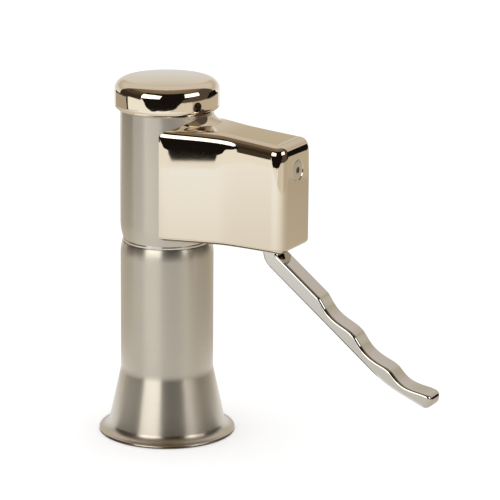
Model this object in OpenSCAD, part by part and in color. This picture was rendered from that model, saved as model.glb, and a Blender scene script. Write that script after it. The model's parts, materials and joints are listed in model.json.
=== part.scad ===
// Hand-held soap pump dispenser. A squeeze lever lifts a rod through a bell crank, and a piston on
// that rod pushes soap down the hollow rod to a nozzle inside the bell foot. A spring under the cap
// pushes the rod back. All sizes are in millimetres.
// +Z is up, the body's axis is the Z axis, the foot stands on z = 0, and the lever is on the +X side.

/* [Tube] */
// Outer diameter of the barrel and of the straight part of the lower body
tube_d = 38.1; // [37.4:0.1:39]
// Wall of the upper barrel
barrel_wall = 2; // [1.8:0.1:2.3]
// Wall of the lower body
body_wall = 1.4; // [1.1:0.1:1.6]

/* [Lower body] */
// Diameter over the lip of the bell foot
foot_d = 56.5; // [54:0.5:62]
// Radius of the hollow curve between the lip and the bell
foot_fillet = 3.7; // [3:0.1:4.5]
// Depth of the flat land that the lip stands on
foot_land = 0.15; // [0.1:0.05:0.25]
// Height at which the bell runs into the straight tube
flare_h = 26.9; // [24:0.5:29]
// Angle between the bell's side and the vertical
flare_angle = 12.3; // [11:0.1:13]
// Height of the lower body
lower_body_h = 80.85; // [79:0.5:84]
// Height of the rounded shoulder at the lower body's top
lower_shoulder_h = 5.35; // [4:0.25:6]
// How far that shoulder draws in
lower_shoulder_in = 0.75; // [0.5:0.05:1]

/* [Upper barrel] */
// Height of the upper barrel
barrel_h = 63.35; // [62:0.5:66]
// Height of the rounded shoulder at the barrel's lower end
barrel_shoulder_h = 7; // [5:0.5:8]
// How far that shoulder draws in
barrel_shoulder_in = 1.15; // [0.8:0.05:1.4]
// Height of the ring in the seam between barrel and lower body
seam_ring_h = 1.5; // [1.2:0.1:2]
// How far the seam ring stands in from the tube
seam_ring_in = 0.95; // [0.8:0.05:1.2]
// Height of each fine groove above and below the ring
seam_groove = 0.25; // [0.15:0.05:0.35]

/* [Cap] */
// Diameter of the cap
cap_d = 43.2; // [42.6:0.2:46]
// Height of the cap
cap_h = 13; // [12.4:0.2:15]
// Thickness of the cap's top at its rim
cap_top = 2.5; // [2:0.1:3]
// Radius of the cap's upper edge
cap_edge_r = 4.7; // [4:0.1:6]
// How far the cap's lower edge curves in, and how high the curve is
cap_skirt_r = 6; // [5:0.1:7]
cap_skirt_h = 3.5; // [3:0.1:4.2]
// Rise of the domed top above the cap's rim
cap_dome = 0.3; // [0.2:0.1:1]
// Height of the set screw above the cap's lower face
cap_screw_h = 4.4; // [4.2:0.1:5]
// Angle of the set screw about the body's axis
cap_screw_a = -26; // [-60:1:60]

/* [Lever housing] */
// Distance of the housing's end face past the lever's pivot
housing_past = 11.4; // [10.8:0.2:14]
// Width of the end face
housing_end_w = 26.5; // [26.3:0.1:28]
// Angle of each side wall to the X axis
housing_taper = 5.87; // [5.6:0.1:6.5]
// Height of the housing's end face, from its floor
housing_end_h = 42.7; // [41:0.1:43.4]
// Slope of the housing's top towards its end
housing_slope = 3.9; // [3:0.1:4.4]
// Radius of the upright corners
housing_corner_r = 4.7; // [4.7:0.1:5.5]
// Radius of the top edge
housing_edge_r = 4.3; // [3.5:0.1:4.3]
// Radius and angle of the flatter curve that leads from the side walls into the top edge
housing_side_r = 15; // [12:1:20]
housing_side_a = 15; // [10:1:16]
// Radius of the bottom edge
housing_base_r = 1.8; // [1.2:0.1:2.4]
// Wall of the housing
housing_wall = 1.6; // [1.3:0.1:1.7]
// Width of the slot that the lever swings in
slot_w = 12; // [11.4:0.2:13]

/* [Lever] */
// Width of the lever
lever_w = 10; // [9:0.2:10.6]
// Thickness of the lever where it is plain
lever_t = 6.5; // [6:0.1:6.8]
// Thickness at the later crests and at the tip
grip_t = 5.85; // [5.4:0.05:6.2]
// Radius of the lever's long edges
lever_edge_r = 1.3; // [0.8:0.1:1.6]
// Radius of the bend under the housing, on its outside
bend_r = 8.4; // [7.6:0.2:9]
// Angle of the grip below the horizontal
grip_angle = 38.3; // [36:0.2:41]
// Length of the straight stretch after the bend
grip_len = 57.8; // [54:0.5:62]
// Radius of the curve towards the tip
tail_r = 58; // [50:1:70]
// Angle that the tail curves through
tail_angle = 16; // [13:0.5:18]
// Length of the tip after that curve
tip_len = 12.7; // [10:0.1:15]
// Distance from the bend to the first crest
first_crest = 23; // [20:0.5:25]
// Distance between crests
groove_pitch = 20.8; // [19:0.2:22]
// Number of finger grooves
groove_n = 3; // [2:1:3]
// Depth of the finger grooves
groove_depth = 1.75; // [1.2:0.05:2]

/* [Linkage] */
// Distance of the lever's pivot from the body's axis
pivot_x = 48; // [47.6:0.1:48.2]
// Travel of the rod
stroke = 22; // [19:0.5:23]
// Height of the crosshead pin above the barrel's lower end
pin_rise = 12.65; // [12.4:0.1:13.5]
// Diameter of the pivot pin
pivot_pin_d = 6; // [5:0.1:6.4]
// Diameter of the crosshead pin
cross_pin_d = 6; // [5.4:0.1:6.2]
// Wire of the return spring
spring_wire = 1.5; // [1.2:0.1:1.7]
// Mean diameter of the return spring
spring_d = 20; // [19.6:0.2:24]
// Turns of the return spring
spring_turns = 6; // [5:0.5:6]

/* [Pump] */
// Bore of the pump cylinder
pump_bore = 14; // [13.9:0.1:15]
// Wall of the pump cylinder
pump_wall = 1.2; // [1:0.1:1.6]
// Diameter of the pump rod
rod_d = 6; // [5.6:0.1:6.2]
// Bore of the rod's lower, hollow part
rod_bore = 4; // [3.2:0.1:4.2]
// Height of the piston
piston_h = 6; // [5:0.2:7]
// Thickness of the reservoir floor
floor_t = 3; // [2.6:0.2:4]

/* [Fits] */
// Radial clearance of sliding and turning fits
run_gap = 0.05; // [0.03:0.01:0.08]
// Radial clearance of screwed and seated pieces
seat_gap = 0.03; // [0.02:0.01:0.06]
// Gap to a neighbour that must not be touched
air_gap = 0.3; // [0.2:0.05:0.5]

/* [Hidden] */

$fn = 72;
arc_steps = 10;     // straight steps in each drawn arc
hull_fn = 32;       // segments of the rounded corners inside a hull
cut = 0.5;          // how far a cutting solid runs past the face it cuts

steel = "#c9c6c0";
gold = "#e6d9b4";
chrome = "#d9dadb";
acetal = "#2e2e30";
rubber = "#3a3a3a";
silicone = "#d8d8d4";
brass = "#c9a84c";
aluminium = "#b8bcc0";

// Radii of the tube and of what runs inside it
tube_r = tube_d / 2;
bore_r = tube_r - barrel_wall;
tank_r = tube_r - body_wall;
neck_r = tube_r - 3.45;              // threaded necks of both halves
nipple_r = neck_r - seat_gap * 2;    // outside of the coupling ring
nipple_bore_r = nipple_r - 2.9;
seam_ring_r = tube_r - seam_ring_in;

// Heights, from the foot up
barrel_z = lower_body_h + seam_ring_h;
barrel_top = barrel_z + barrel_h;
nipple_z = lower_body_h - 4.25;
nipple_top = barrel_z + 7.4;
throat_top = nipple_top + 0.3;
flange_t = 2.7;
flange_z = nipple_z - flange_t;
neck_z = flange_z - 0.4;

// Pump, hung from the cylinder head
chamber_top = flange_z + 1.6;
flap_t = 0.5;
piston_top = chamber_top - stroke - flap_t - air_gap - 0.1;
piston_z = piston_top - piston_h;
foot_lip = 0.6;
foot_top = piston_z - air_gap - foot_lip;
foot_step = foot_top - 2;
foot_z = foot_step - 2;
standpipe_top = foot_z - 0.5;
seal_wire = 1.5;
seal_pocket = 1.9;
rod_end = standpipe_top - seal_pocket - stroke - air_gap;
floor_z = flare_h;
rod_r = rod_d / 2;
rod_hole_r = rod_r + run_gap;
cylinder_r = pump_bore / 2;
cylinder_out_r = cylinder_r + pump_wall;
piston_r = cylinder_r - run_gap;
seal_r = rod_r + seal_wire / 2 + 0.05;   // centre line of the rod seals
seal_pocket_r = rod_r + seal_wire + 0.1;
port_r = 0.8;

// Cylinder head and gland
spigot_top = nipple_z + 5.4;
head_top = spigot_top + 2;
gland_r = seal_pocket_r + 1.4;
gland_seal_z = head_top - 3.2;
gland_top = head_top + 2;

// Nozzle
nozzle_spigot_r = seal_pocket_r + 0.4;
standpipe_r = nozzle_spigot_r + 1.4;
nozzle_r = 5.3;
nozzle_mouth_r = 4.3;
nozzle_hex = 14;
nozzle_step = rod_end - 0.4;
nozzle_z = nozzle_step - 6.8;
duck_flange = 1;

// Bell crank: the arm swings as far above the horizontal as below it
pin_z = barrel_z + pin_rise;
pivot_z = pin_z + stroke / 2;
arm_angle = atan(stroke / 2 / pivot_x);
arm_reach = pivot_x / cos(arm_angle);    // pivot to crosshead pin at both ends of the travel
cross_pin_r = cross_pin_d / 2;
pin_slot = cross_pin_r + 0.2;
arm_h = pin_slot + 3;                    // half the height of the arm
arm_w = 15.2;
fork_gap = 9.2;
web_end = arm_reach - 9.6;
hub_r = 7.2;
bush_r = pivot_pin_d / 2 + 2;
bush_flange_r = bush_r + 1.6;
cheek_gap = arm_w + 3.6;
cheek_t = 2;
cheek_out = cheek_gap / 2 + cheek_t;
clip_t = 0.7;

// Crosshead and guide
cross_w = 8.4;
cross_l = 12;
cross_z = gland_top + 0.8;
cross_top = pivot_z - (pivot_x - bore_r) * tan(arm_angle) + arm_h / cos(arm_angle) + 1.4;
stem_r = 4;
guide_t = 2.5;
guide_top = cross_top + guide_t;
guide_nut_h = 4.3;
stem_top = guide_top + guide_nut_h + 2;

// Cap
cap_r = cap_d / 2;
cap_roof = barrel_top;
cap_rim_z = cap_roof + cap_top;
cap_z = cap_rim_z + cap_dome - cap_h;
cap_bore_r = tube_r + run_gap;
spring_boss_r = spring_d / 2 - spring_wire / 2 - 0.6;
spring_boss_h = min(3, barrel_top - stem_top - stroke - air_gap);
set_screw_r = 2;

// Lever housing
housing_reach = pivot_x + housing_past;
housing_z = barrel_z + 3.55;
housing_end_top = housing_z + housing_end_h;
housing_cut_x = tube_r * 0.345;
slot_end = pivot_x + 9;
housing_screw_z = housing_end_top - 11.4;
screw_head_r = 4.1;
screw_r = 2;

// Lever frame
saddle_t = 2;
frame_z = housing_z + housing_wall + 4.4;
frame_top = pivot_z + 14.5;
frame_end = housing_reach - housing_wall - 0.1;
frame_screw_a = 42;
frame_screw_r = 1.5;
frame_screw_dz = 8;
window_w = arm_w + 2;
window_top = pivot_z + (pivot_x - bore_r) * tan(arm_angle) + arm_h / cos(arm_angle) + 1.6;
window_z = throat_top - 1.4;

// Lever outline: neck, bend, straight grip, tail and tip, along the face that looks at the body
bend_x = pivot_x + 7.06;
bend_z = housing_z - 1.8;
neck_len = pivot_z - bend_z;
turn = 90 - grip_angle;
bend_len = bend_r * turn * PI / 180;
tail_len = tail_r * tail_angle * PI / 180;
bend_end_s = neck_len + bend_len;
grip_end_s = bend_end_s + grip_len;
tail_end_s = grip_end_s + tail_len;
tip_s = tail_end_s + tip_len;
ring_step = 1.3;

// ---------- outline helpers ----------

// Points on an arc in the r-z plane
function arc(r0, z0, r, from, to, n = arc_steps) =
    [for (i = [0:n]) let (a = from + (to - from) * i / n) [r0 + r * cos(a), z0 + r * sin(a)]];

// Radius of an arc that starts upright and draws in by d over a height h
function draw_r(h, d) = (h * h + d * d) / (2 * d);

function reversed(list) = [for (i = [len(list) - 1:-1:0]) list[i]];

// Skin over rings of points, closed at both ends
module skin(rings) {
    n = len(rings[0]);
    m = len(rings);
    sides = [for (j = [0:m - 2], i = [0:n - 1])
        [j * n + i, (j + 1) * n + i, (j + 1) * n + (i + 1) % n, j * n + (i + 1) % n]];
    first = [for (i = [0:n - 1]) i];
    last = [for (i = [n - 1:-1:0]) (m - 1) * n + i];
    polyhedron([for (ring = rings) each ring], concat([first], sides, [last]), convexity = 8);
}

// Tube between two radii
module tube(r, r_in, h) {
    difference() {
        cylinder(r = r, h = h);
        translate([0, 0, -cut]) cylinder(r = r_in, h = h + 2 * cut);
    }
}

// O-ring in a horizontal plane
module o_ring(r, wire) {
    rotate_extrude() translate([r, 0]) circle(d = wire, $fn = 24);
}

// n copies about the Z axis
module around(n) {
    for (i = [0:n - 1]) rotate([0, 0, i * 360 / n]) children();
}

// Both sides of the XZ plane
module both_sides() {
    for (side = [0, 1]) mirror([0, side, 0]) children();
}

// A cylinder along +Y from y0 to y1
module y_rod(r, y0, y1) {
    translate([0, y0, 0]) rotate([-90, 0, 0]) cylinder(r = r, h = y1 - y0);
}

// Snap ring on a shaft along Y
module snap_ring(y, r_in, r) {
    difference() {
        y_rod(r, y, y + clip_t);
        y_rod(r_in, y - cut, y + clip_t + cut);
        translate([-r_in * 0.7, y - cut, 0]) cube([r_in * 1.4, clip_t + 2 * cut, r + cut]);
    }
}

// ---------- body shells ----------

module lower_body() {
    lip_r = body_wall / 2;
    slope = tan(flare_angle);
    fillet_z = body_wall + foot_fillet - foot_land;
    tangent_z = fillet_z - foot_fillet * sin(flare_angle);
    fillet_r = tube_r + (flare_h - tangent_z) * slope + foot_fillet * cos(flare_angle);
    shoulder_r = draw_r(lower_shoulder_h, lower_shoulder_in);
    shoulder_z = lower_body_h - lower_shoulder_h;
    shoulder_a = asin(lower_shoulder_h / shoulder_r);
    inner_flare_z = flare_h - body_wall * tan(flare_angle / 2);
    inner_r = foot_fillet + body_wall;
    foot_r = min(fillet_r, foot_d / 2 - lip_r);
    outer = concat(
        arc(foot_d / 2 - lip_r, lip_r - foot_land, lip_r, -asin((lip_r - foot_land) / lip_r), 90, 6),
        arc(foot_r, fillet_z, foot_fillet, 270, 180 + flare_angle),
        [[tube_r, flare_h]],
        arc(tube_r - shoulder_r, shoulder_z, shoulder_r, 0, shoulder_a));
    inner = concat(
        [[neck_r, lower_body_h], [neck_r, neck_z], [tank_r, neck_z - (tank_r - neck_r)]],
        [[tank_r, inner_flare_z]],
        reversed(arc(foot_r, fillet_z, inner_r,
            270 - acos((inner_r - foot_land) / inner_r), 180 + flare_angle)));
    color(steel) rotate_extrude() polygon(concat(outer, inner));
}

module upper_barrel() {
    shoulder_r = draw_r(barrel_shoulder_h, barrel_shoulder_in);
    shoulder_z = barrel_z + barrel_shoulder_h;
    shoulder_a = asin(barrel_shoulder_h / shoulder_r);
    profile = concat(
        arc(tube_r - shoulder_r, shoulder_z, shoulder_r, -shoulder_a, 0),
        [[tube_r, barrel_top], [bore_r, barrel_top]],
        [[bore_r, throat_top + 1.4], [neck_r, throat_top], [neck_r, barrel_z]]);
    color(steel) difference() {
        rotate_extrude() polygon(profile);
        translate([0, -window_w / 2, window_z]) cube([tube_r + cut, window_w, window_top - window_z]);
        frame_screw_places() translate([0, 0, bore_r - cut])
            cylinder(r = frame_screw_r, h = barrel_wall + 2 * cut);
        set_screw_place() translate([0, 0, bore_r - cut])
            cylinder(r = set_screw_r + seat_gap, h = barrel_wall + 2 * cut);
    }
}

module seam_ring() {
    web_r = seam_ring_r - 0.5;
    edge = 0.2;
    lo = lower_body_h + seam_groove;
    hi = barrel_z - seam_groove;
    color(steel) rotate_extrude() polygon([
        [neck_r, lower_body_h], [web_r, lower_body_h], [web_r, lo], [seam_ring_r - edge, lo],
        [seam_ring_r, lo + edge], [seam_ring_r, hi - edge], [seam_ring_r - edge, hi],
        [web_r, hi], [web_r, barrel_z], [neck_r, barrel_z]]);
}

module coupling_ring() {
    color(steel) translate([0, 0, nipple_z])
        tube(nipple_r, nipple_bore_r, nipple_top - nipple_z);
}

// ---------- cap ----------

module set_screw_place() {
    rotate([0, 0, cap_screw_a]) translate([0, 0, cap_z + cap_screw_h]) rotate([0, 90, 0]) children();
}

module cap() {
    dome_r = draw_r(cap_r - cap_edge_r, cap_dome);
    dome_a = asin((cap_r - cap_edge_r) / dome_r);
    skirt_a = acos((cap_bore_r - cap_r + cap_skirt_r) / cap_skirt_r);
    skirt_z = cap_z + cap_skirt_h * sin(skirt_a);
    skirt_steps = 8;
    outside = concat(
        [for (i = [0 : skirt_steps]) let (a = skirt_a * (i / skirt_steps - 1))
            [cap_r - cap_skirt_r + cap_skirt_r * cos(a), skirt_z + cap_skirt_h * sin(a)]],
        arc(cap_r - cap_edge_r, cap_rim_z - cap_edge_r, cap_edge_r, 0, 90 - dome_a),
        arc(0, cap_rim_z + cap_dome - dome_r, dome_r, 90 - dome_a, 90));
    inside = [
        [0, cap_roof - spring_boss_h], [spring_boss_r, cap_roof - spring_boss_h],
        [spring_boss_r, cap_roof], [cap_bore_r, cap_roof]];
    color(gold) difference() {
        rotate_extrude() polygon(concat(outside, inside));
        set_screw_place() translate([0, 0, bore_r])
            cylinder(r = set_screw_r + seat_gap, h = cap_r - bore_r + cut);
    }
}

module cap_set_screw() {
    recess = 1.5;
    length = cap_r - recess - bore_r - 0.3;
    socket = 1.6;
    color(steel) set_screw_place() translate([0, 0, bore_r + 0.3]) difference() {
        cylinder(r = set_screw_r, h = length);
        translate([0, 0, length - socket]) cylinder(d = 2.3, h = socket + cut, $fn = 6);
    }
}

// ---------- lever housing ----------

// Half the housing's width at x
function housing_half(x) = housing_end_w / 2 + (housing_reach - x) * tan(housing_taper);

// Height of the housing's top at x
function housing_top(x) = housing_end_top + (housing_reach - x) * tan(housing_slope);

// One upright corner, with its top and bottom edges rounded; inset makes the inner wall
module housing_post(x, inset) {
    r = housing_corner_r - inset;
    top_r = housing_edge_r - inset;
    side_r = housing_side_r - inset;
    base_r = max(housing_base_r - inset, 0.2);
    lo = housing_z + inset;
    hi = housing_top(x + housing_corner_r) - inset;
    y = housing_half(x) - housing_corner_r / cos(housing_taper);
    translate([x, y, 0]) rotate_extrude($fn = hull_fn) polygon(concat(
        [[0, lo]], arc(r - base_r, lo + base_r, base_r, -90, 0, 3),
        arc(r - side_r, hi - top_r - (side_r - top_r) * sin(housing_side_a),
            side_r, 0, housing_side_a, 3),
        arc(r - side_r + (side_r - top_r) * cos(housing_side_a), hi - top_r,
            top_r, housing_side_a, 90, 7), [[0, hi]]));
}

module housing_form(inset) {
    hull() both_sides() {
        housing_post(housing_reach - housing_corner_r, inset);
        housing_post(-housing_corner_r, inset);
    }
}

module housing_screw_place() {
    translate([housing_reach, 0, housing_screw_z]) rotate([0, 90, 0]) children();
}

module lever_housing() {
    color(gold) difference() {
        housing_form(0);
        housing_form(housing_wall);
        translate([-tube_d, -tube_d, 0]) cube([tube_d + housing_cut_x, 2 * tube_d, cap_rim_z]);
        translate([0, 0, housing_z - cut])
            cylinder(r = tube_r + seat_gap, h = housing_end_h + tube_d);
        translate([0, -slot_w / 2, housing_z - cut]) cube([slot_end, slot_w, housing_wall + 2 * cut]);
        housing_screw_place() translate([0, 0, -housing_wall - cut])
            cylinder(r1 = screw_head_r - housing_wall - cut + 0.3, r2 = screw_head_r + 0.3 + cut,
                h = housing_wall + 2 * cut);
    }
}

module housing_screw() {
    recess = 0.15;
    head_h = screw_head_r - screw_r;
    length = 8.6;
    color(steel) housing_screw_place() translate([0, 0, -recess]) difference() {
        union() {
            translate([0, 0, -head_h]) cylinder(r1 = screw_r, r2 = screw_head_r, h = head_h);
            translate([0, 0, -length]) cylinder(r = screw_r, h = length - head_h + 0.01);
        }
        translate([0, 0, -1.5]) cylinder(d = 2.9, h = 1.5 + cut, $fn = 6);
    }
}

// ---------- lever frame ----------

module frame_screw_places() {
    both_sides() rotate([0, 0, frame_screw_a]) for (dz = [-1, 1])
        translate([0, 0, (frame_z + frame_top) / 2 + dz * frame_screw_dz]) rotate([0, 90, 0]) children();
}

module lever_frame() {
    saddle_r = tube_r + seat_gap;
    from_a = asin((cheek_out - 0.7 * cheek_t) / saddle_r);
    to_a = frame_screw_a + 7.5;
    saddle_step = 1;      // how far the saddles end inside the cheeks, above and below
    boss_z = housing_screw_z - 5;
    cheek_front = frame_end - 3.4;
    cheek_back = tube_r - 3;
    color(aluminium) difference() {
        union() {
            both_sides() {
                difference() {
                    translate([0, cheek_out, 0]) rotate([90, 0, 0]) linear_extrude(cheek_t) polygon([
                        [cheek_back, frame_z], [pivot_x - 8, frame_z + 4], [cheek_front, pivot_z - 6],
                        [cheek_front, frame_top], [cheek_back, frame_top]]);
                    translate([0, 0, frame_z - cut])
                        cylinder(r = saddle_r + saddle_t / 2, h = frame_top - frame_z + 2 * cut);
                }
                translate([0, 0, frame_z + saddle_step]) rotate([0, 0, from_a])
                    rotate_extrude(angle = to_a - from_a) translate([saddle_r, 0])
                        square([saddle_t, frame_top - frame_z - 2 * saddle_step]);
            }
            translate([cheek_front - 1.5, -cheek_gap / 2 - 1, boss_z])
                cube([1.5, cheek_gap + 2, frame_top - boss_z]);
            translate([cheek_front - 1, 0, housing_screw_z]) rotate([0, 90, 0])
                cylinder(r = 4, h = frame_end - cheek_front + 1);
        }
        translate([pivot_x, 0, pivot_z])
            y_rod(pivot_pin_d / 2 + seat_gap, -cheek_out - cut, cheek_out + cut);
        frame_screw_places() {
            translate([0, 0, tube_r - 1]) cylinder(r = frame_screw_r + 0.1, h = 6);
            translate([0, 0, saddle_r + 0.5])
                cylinder(r1 = frame_screw_r, r2 = frame_screw_r + saddle_t - 0.4, h = saddle_t - 0.4);
        }
        housing_screw_place() {
            translate([0, 0, pivot_x - housing_reach]) cylinder(r = screw_r + seat_gap, h = pivot_x);
            translate([0, 0, -2.6]) cylinder(r1 = screw_r - 0.2, r2 = screw_r + 4.8, h = 5);
        }
    }
}

module frame_screws() {
    head = 1.35;
    tip = bore_r + 0.1;
    top = tube_r + seat_gap + saddle_t - 0.1;
    color(steel) frame_screw_places() difference() {
        union() {
            translate([0, 0, tip]) cylinder(r = frame_screw_r - seat_gap, h = top - tip);
            translate([0, 0, top - head])
                cylinder(r1 = frame_screw_r - seat_gap, r2 = frame_screw_r + head - 0.1, h = head);
        }
        translate([0, 0, top - 0.9]) cylinder(d = 2.3, h = 1, $fn = 6);
    }
}

module pivot_pin() {
    half = cheek_out + 1;
    groove = cheek_out + seat_gap;
    color(steel) translate([pivot_x, 0, pivot_z]) difference() {
        y_rod(pivot_pin_d / 2, -half, half);
        both_sides() difference() {
            y_rod(pivot_pin_d / 2 + cut, groove, groove + clip_t + 0.04);
            y_rod(pivot_pin_d / 2 - 0.4, groove - cut, groove + clip_t + cut);
        }
    }
}

module pivot_clips() {
    color(steel) translate([pivot_x, 0, pivot_z]) both_sides()
        snap_ring(cheek_out + seat_gap + 0.02, pivot_pin_d / 2 - 0.38, pivot_pin_d / 2 + 1.7);
}

module pivot_bushes() {
    thrust = (cheek_gap - arm_w) / 2 - run_gap;
    color(brass) translate([pivot_x, 0, pivot_z]) both_sides() difference() {
        union() {
            y_rod(bush_r - 0.01, arm_w / 2 - 6.5, arm_w / 2);
            y_rod(bush_flange_r, arm_w / 2, arm_w / 2 + thrust);
        }
        y_rod(pivot_pin_d / 2 + run_gap, 0, cheek_gap);
    }
}

// ---------- lever ----------

// Direction of the lever's face at distance s, as an angle below the horizontal
function lever_dir(s) =
    s < neck_len ? 90 :
    s < bend_end_s ? 90 - (s - neck_len) / bend_r * 180 / PI :
    s < grip_end_s ? grip_angle :
    s < tail_end_s ? grip_angle - (s - grip_end_s) / tail_r * 180 / PI :
    grip_angle - tail_angle;

function toward(a) = [cos(a), -sin(a)];
function outward(a) = [sin(a), cos(a)];

// Point of that face at distance s, in the XZ plane
bend_end_p = [bend_x, bend_z] - bend_r * outward(grip_angle);
grip_end_p = bend_end_p + grip_len * toward(grip_angle);
tail_centre = grip_end_p + tail_r * outward(grip_angle);
tail_end_p = tail_centre - tail_r * outward(grip_angle - tail_angle);
function lever_face(s) =
    s < neck_len ? [bend_x - bend_r, pivot_z - s] :
    s < bend_end_s ? [bend_x, bend_z] - bend_r * outward(lever_dir(s)) :
    s < grip_end_s ? bend_end_p + (s - bend_end_s) * toward(grip_angle) :
    s < tail_end_s ? tail_centre - tail_r * outward(lever_dir(s)) :
    tail_end_p + (s - tail_end_s) * toward(grip_angle - tail_angle);

// Depth of the finger grooves, as a share of the full depth: steep after a crest, slower up to the next
function groove(u) = u <= 0 || u >= groove_n ? 0 : let (f = (u - floor(u)) / 0.92)
    f >= 1 ? 0 : pow(sin(180 * pow(f, 0.9)), 1.5);

// Thickness of the lever at distance s
function lever_thick(s) = let (u = (s - bend_end_s - first_crest) / groove_pitch)
    max(grip_t, lever_t - max(u, 0) * (lever_t - grip_t)) - groove_depth * groove(u);

// Cross-section at distance s: a rounded rectangle, drawn in by the rounded tip
function lever_ring(s, shrink) = let (
        p = lever_face(s),
        n = outward(lever_dir(s)),
        t = lever_thick(s),
        half_t = t / 2 * shrink,
        half_w = lever_w / 2 - (1 - shrink) * t / 2,
        r = min(lever_edge_r, half_t * 0.9))
    [for (corner = [0:3], i = [0:4]) let (
            a = corner * 90 + i * 22.5,
            sx = corner == 0 || corner == 3 ? 1 : -1,
            sy = corner < 2 ? 1 : -1,
            y = sx * (half_w - r) + r * cos(a),
            h = t / 2 + sy * (half_t - r) + r * sin(a))
        [p[0] + n[0] * h, y, p[1] + n[1] * h]];

module grip() {
    tip_r = lever_thick(tip_s) / 2;
    start_s = hub_r * 0.5;
    steps = ceil((tip_s - tip_r - start_s) / ring_step);
    body = [for (i = [0:steps]) lever_ring(start_s + (tip_s - tip_r - start_s) * i / steps, 1)];
    tip = [for (a = [18:18:72]) lever_ring(tip_s - tip_r + tip_r * sin(a), cos(a))];
    skin(concat(body, tip));
}

module lever() {
    color(chrome) difference() {
        union() {
            grip();
            translate([pivot_x, 0, pivot_z]) {
                y_rod(hub_r, -arm_w / 2, arm_w / 2);
                rotate([0, -arm_angle, 0]) difference() {
                    translate([-arm_reach - cross_pin_r - 1, -arm_w / 2, -arm_h])
                        cube([arm_reach + cross_pin_r + 1, arm_w, 2 * arm_h]);
                    translate([-arm_reach - tube_r, -fork_gap / 2, -arm_h - cut])
                        cube([arm_reach + tube_r - web_end, fork_gap, 2 * (arm_h + cut)]);
                    translate([-arm_reach - tube_r, -arm_w / 2 - cut, -pin_slot])
                        cube([arm_reach + tube_r - pivot_x, arm_w + 2 * cut, 2 * pin_slot]);
                    translate([-pivot_x, 0, 0]) y_rod(pin_slot, -arm_w / 2 - cut, arm_w / 2 + cut);
                }
            }
        }
        translate([pivot_x, 0, pivot_z]) y_rod(bush_r, -arm_w / 2 - cut, arm_w / 2 + cut);
    }
}

// ---------- crosshead ----------

module crosshead() {
    color(steel) difference() {
        union() {
            translate([-cross_l / 2, -cross_w / 2, cross_z])
                cube([cross_l, cross_w, cross_top - cross_z]);
            translate([0, 0, cross_top - cut]) cylinder(r = stem_r, h = stem_top - cross_top + cut);
        }
        translate([0, 0, cross_z - cut])
            cylinder(r = rod_r + seat_gap, h = pin_z - cross_pin_r - 0.6 - cross_z + cut);
        translate([0, 0, pin_z]) y_rod(cross_pin_r + seat_gap, -cross_w, cross_w);
        translate([0, 0, cross_z + 2]) y_rod(1 + seat_gap, -cross_w, cross_w);
    }
}

module rod_pin() {
    color(steel) translate([0, 0, cross_z + 2]) y_rod(1, -cross_w / 2 + 0.1, cross_w / 2 - 0.1);
}

module crosshead_pin() {
    half = arm_w / 2 + 1.4;
    groove = arm_w / 2 + 0.15;
    color(steel) translate([0, 0, pin_z]) difference() {
        y_rod(cross_pin_r, -half, half);
        both_sides() difference() {
            y_rod(cross_pin_r + cut, groove, groove + clip_t + 0.04);
            y_rod(cross_pin_r - 0.4, groove - cut, groove + clip_t + cut);
        }
    }
}

module crosshead_clips() {
    color(steel) translate([0, 0, pin_z]) both_sides()
        snap_ring(arm_w / 2 + 0.17, cross_pin_r - 0.38, cross_pin_r + 1.5);
}

module guide_disc() {
    color(acetal) translate([0, 0, cross_top]) tube(bore_r - run_gap, stem_r + seat_gap, guide_t);
}

module guide_nut() {
    nut_r = min(7.5, spring_boss_r);
    color(steel) translate([0, 0, guide_top]) difference() {
        cylinder(r = nut_r, h = guide_nut_h, $fn = 6);
        translate([0, 0, -cut]) cylinder(r = stem_r + seat_gap, h = guide_nut_h + 2 * cut);
    }
}

// Coil with its end turns closed and flat
module return_spring() {
    sides = 8;
    per_turn = 20;
    lo = guide_top + spring_wire / 2;
    hi = cap_roof - spring_wire / 2;
    open_turns = spring_turns - 2;
    rise = (hi - lo - 2 * spring_wire) / open_turns;
    function height(k) =
        k < 1 ? k * spring_wire :
        k < 1 + open_turns ? spring_wire + (k - 1) * rise :
        spring_wire + open_turns * rise + (k - 1 - open_turns) * spring_wire;
    color(steel) skin([for (i = [0:per_turn * spring_turns]) let (
            k = i / per_turn, a = 360 * k, z = lo + height(k))
        [for (j = [0:sides - 1]) let (
                b = -360 * j / sides, r = spring_d / 2 + spring_wire / 2 * cos(b))
            [r * cos(a), r * sin(a), z + spring_wire / 2 * sin(b)]]]);
}

// ---------- pump ----------

module pump_rod() {
    top = pin_z - cross_pin_r - 0.9;
    port_z = piston_top + flap_t + 1.2;
    color(steel) difference() {
        translate([0, 0, rod_end]) cylinder(r = rod_r, h = top - rod_end);
        translate([0, 0, rod_end - cut]) cylinder(d = rod_bore, h = port_z + port_r - rod_end + cut);
        translate([0, 0, port_z]) y_rod(port_r, -rod_d, rod_d);
        translate([0, 0, port_z]) rotate([0, 0, 90]) y_rod(port_r, -rod_d, rod_d);
        translate([0, 0, cross_z + 2]) y_rod(1 + seat_gap, -rod_d, rod_d);
    }
}

module piston() {
    groove_z = piston_z + piston_h / 2 - seal_wire / 2;
    color(acetal) difference() {
        translate([0, 0, piston_z]) cylinder(r = piston_r, h = piston_h);
        translate([0, 0, piston_z - cut]) cylinder(r = rod_r + 0.01, h = piston_h + 2 * cut);
        translate([0, 0, groove_z]) difference() {
            cylinder(r = piston_r + cut, h = seal_wire);
            translate([0, 0, -cut]) cylinder(r = piston_r - seal_wire, h = seal_wire + 2 * cut);
        }
        around(6) translate([(rod_r + piston_r - seal_wire) / 2, 0, piston_z - cut])
            cylinder(r = 0.7, h = piston_h + 2 * cut);
    }
}

module piston_seal() {
    wire = seal_wire - 0.06;
    color(rubber) translate([0, 0, piston_z + piston_h / 2]) o_ring(piston_r - wire / 2 - 0.02, wire);
}

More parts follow.
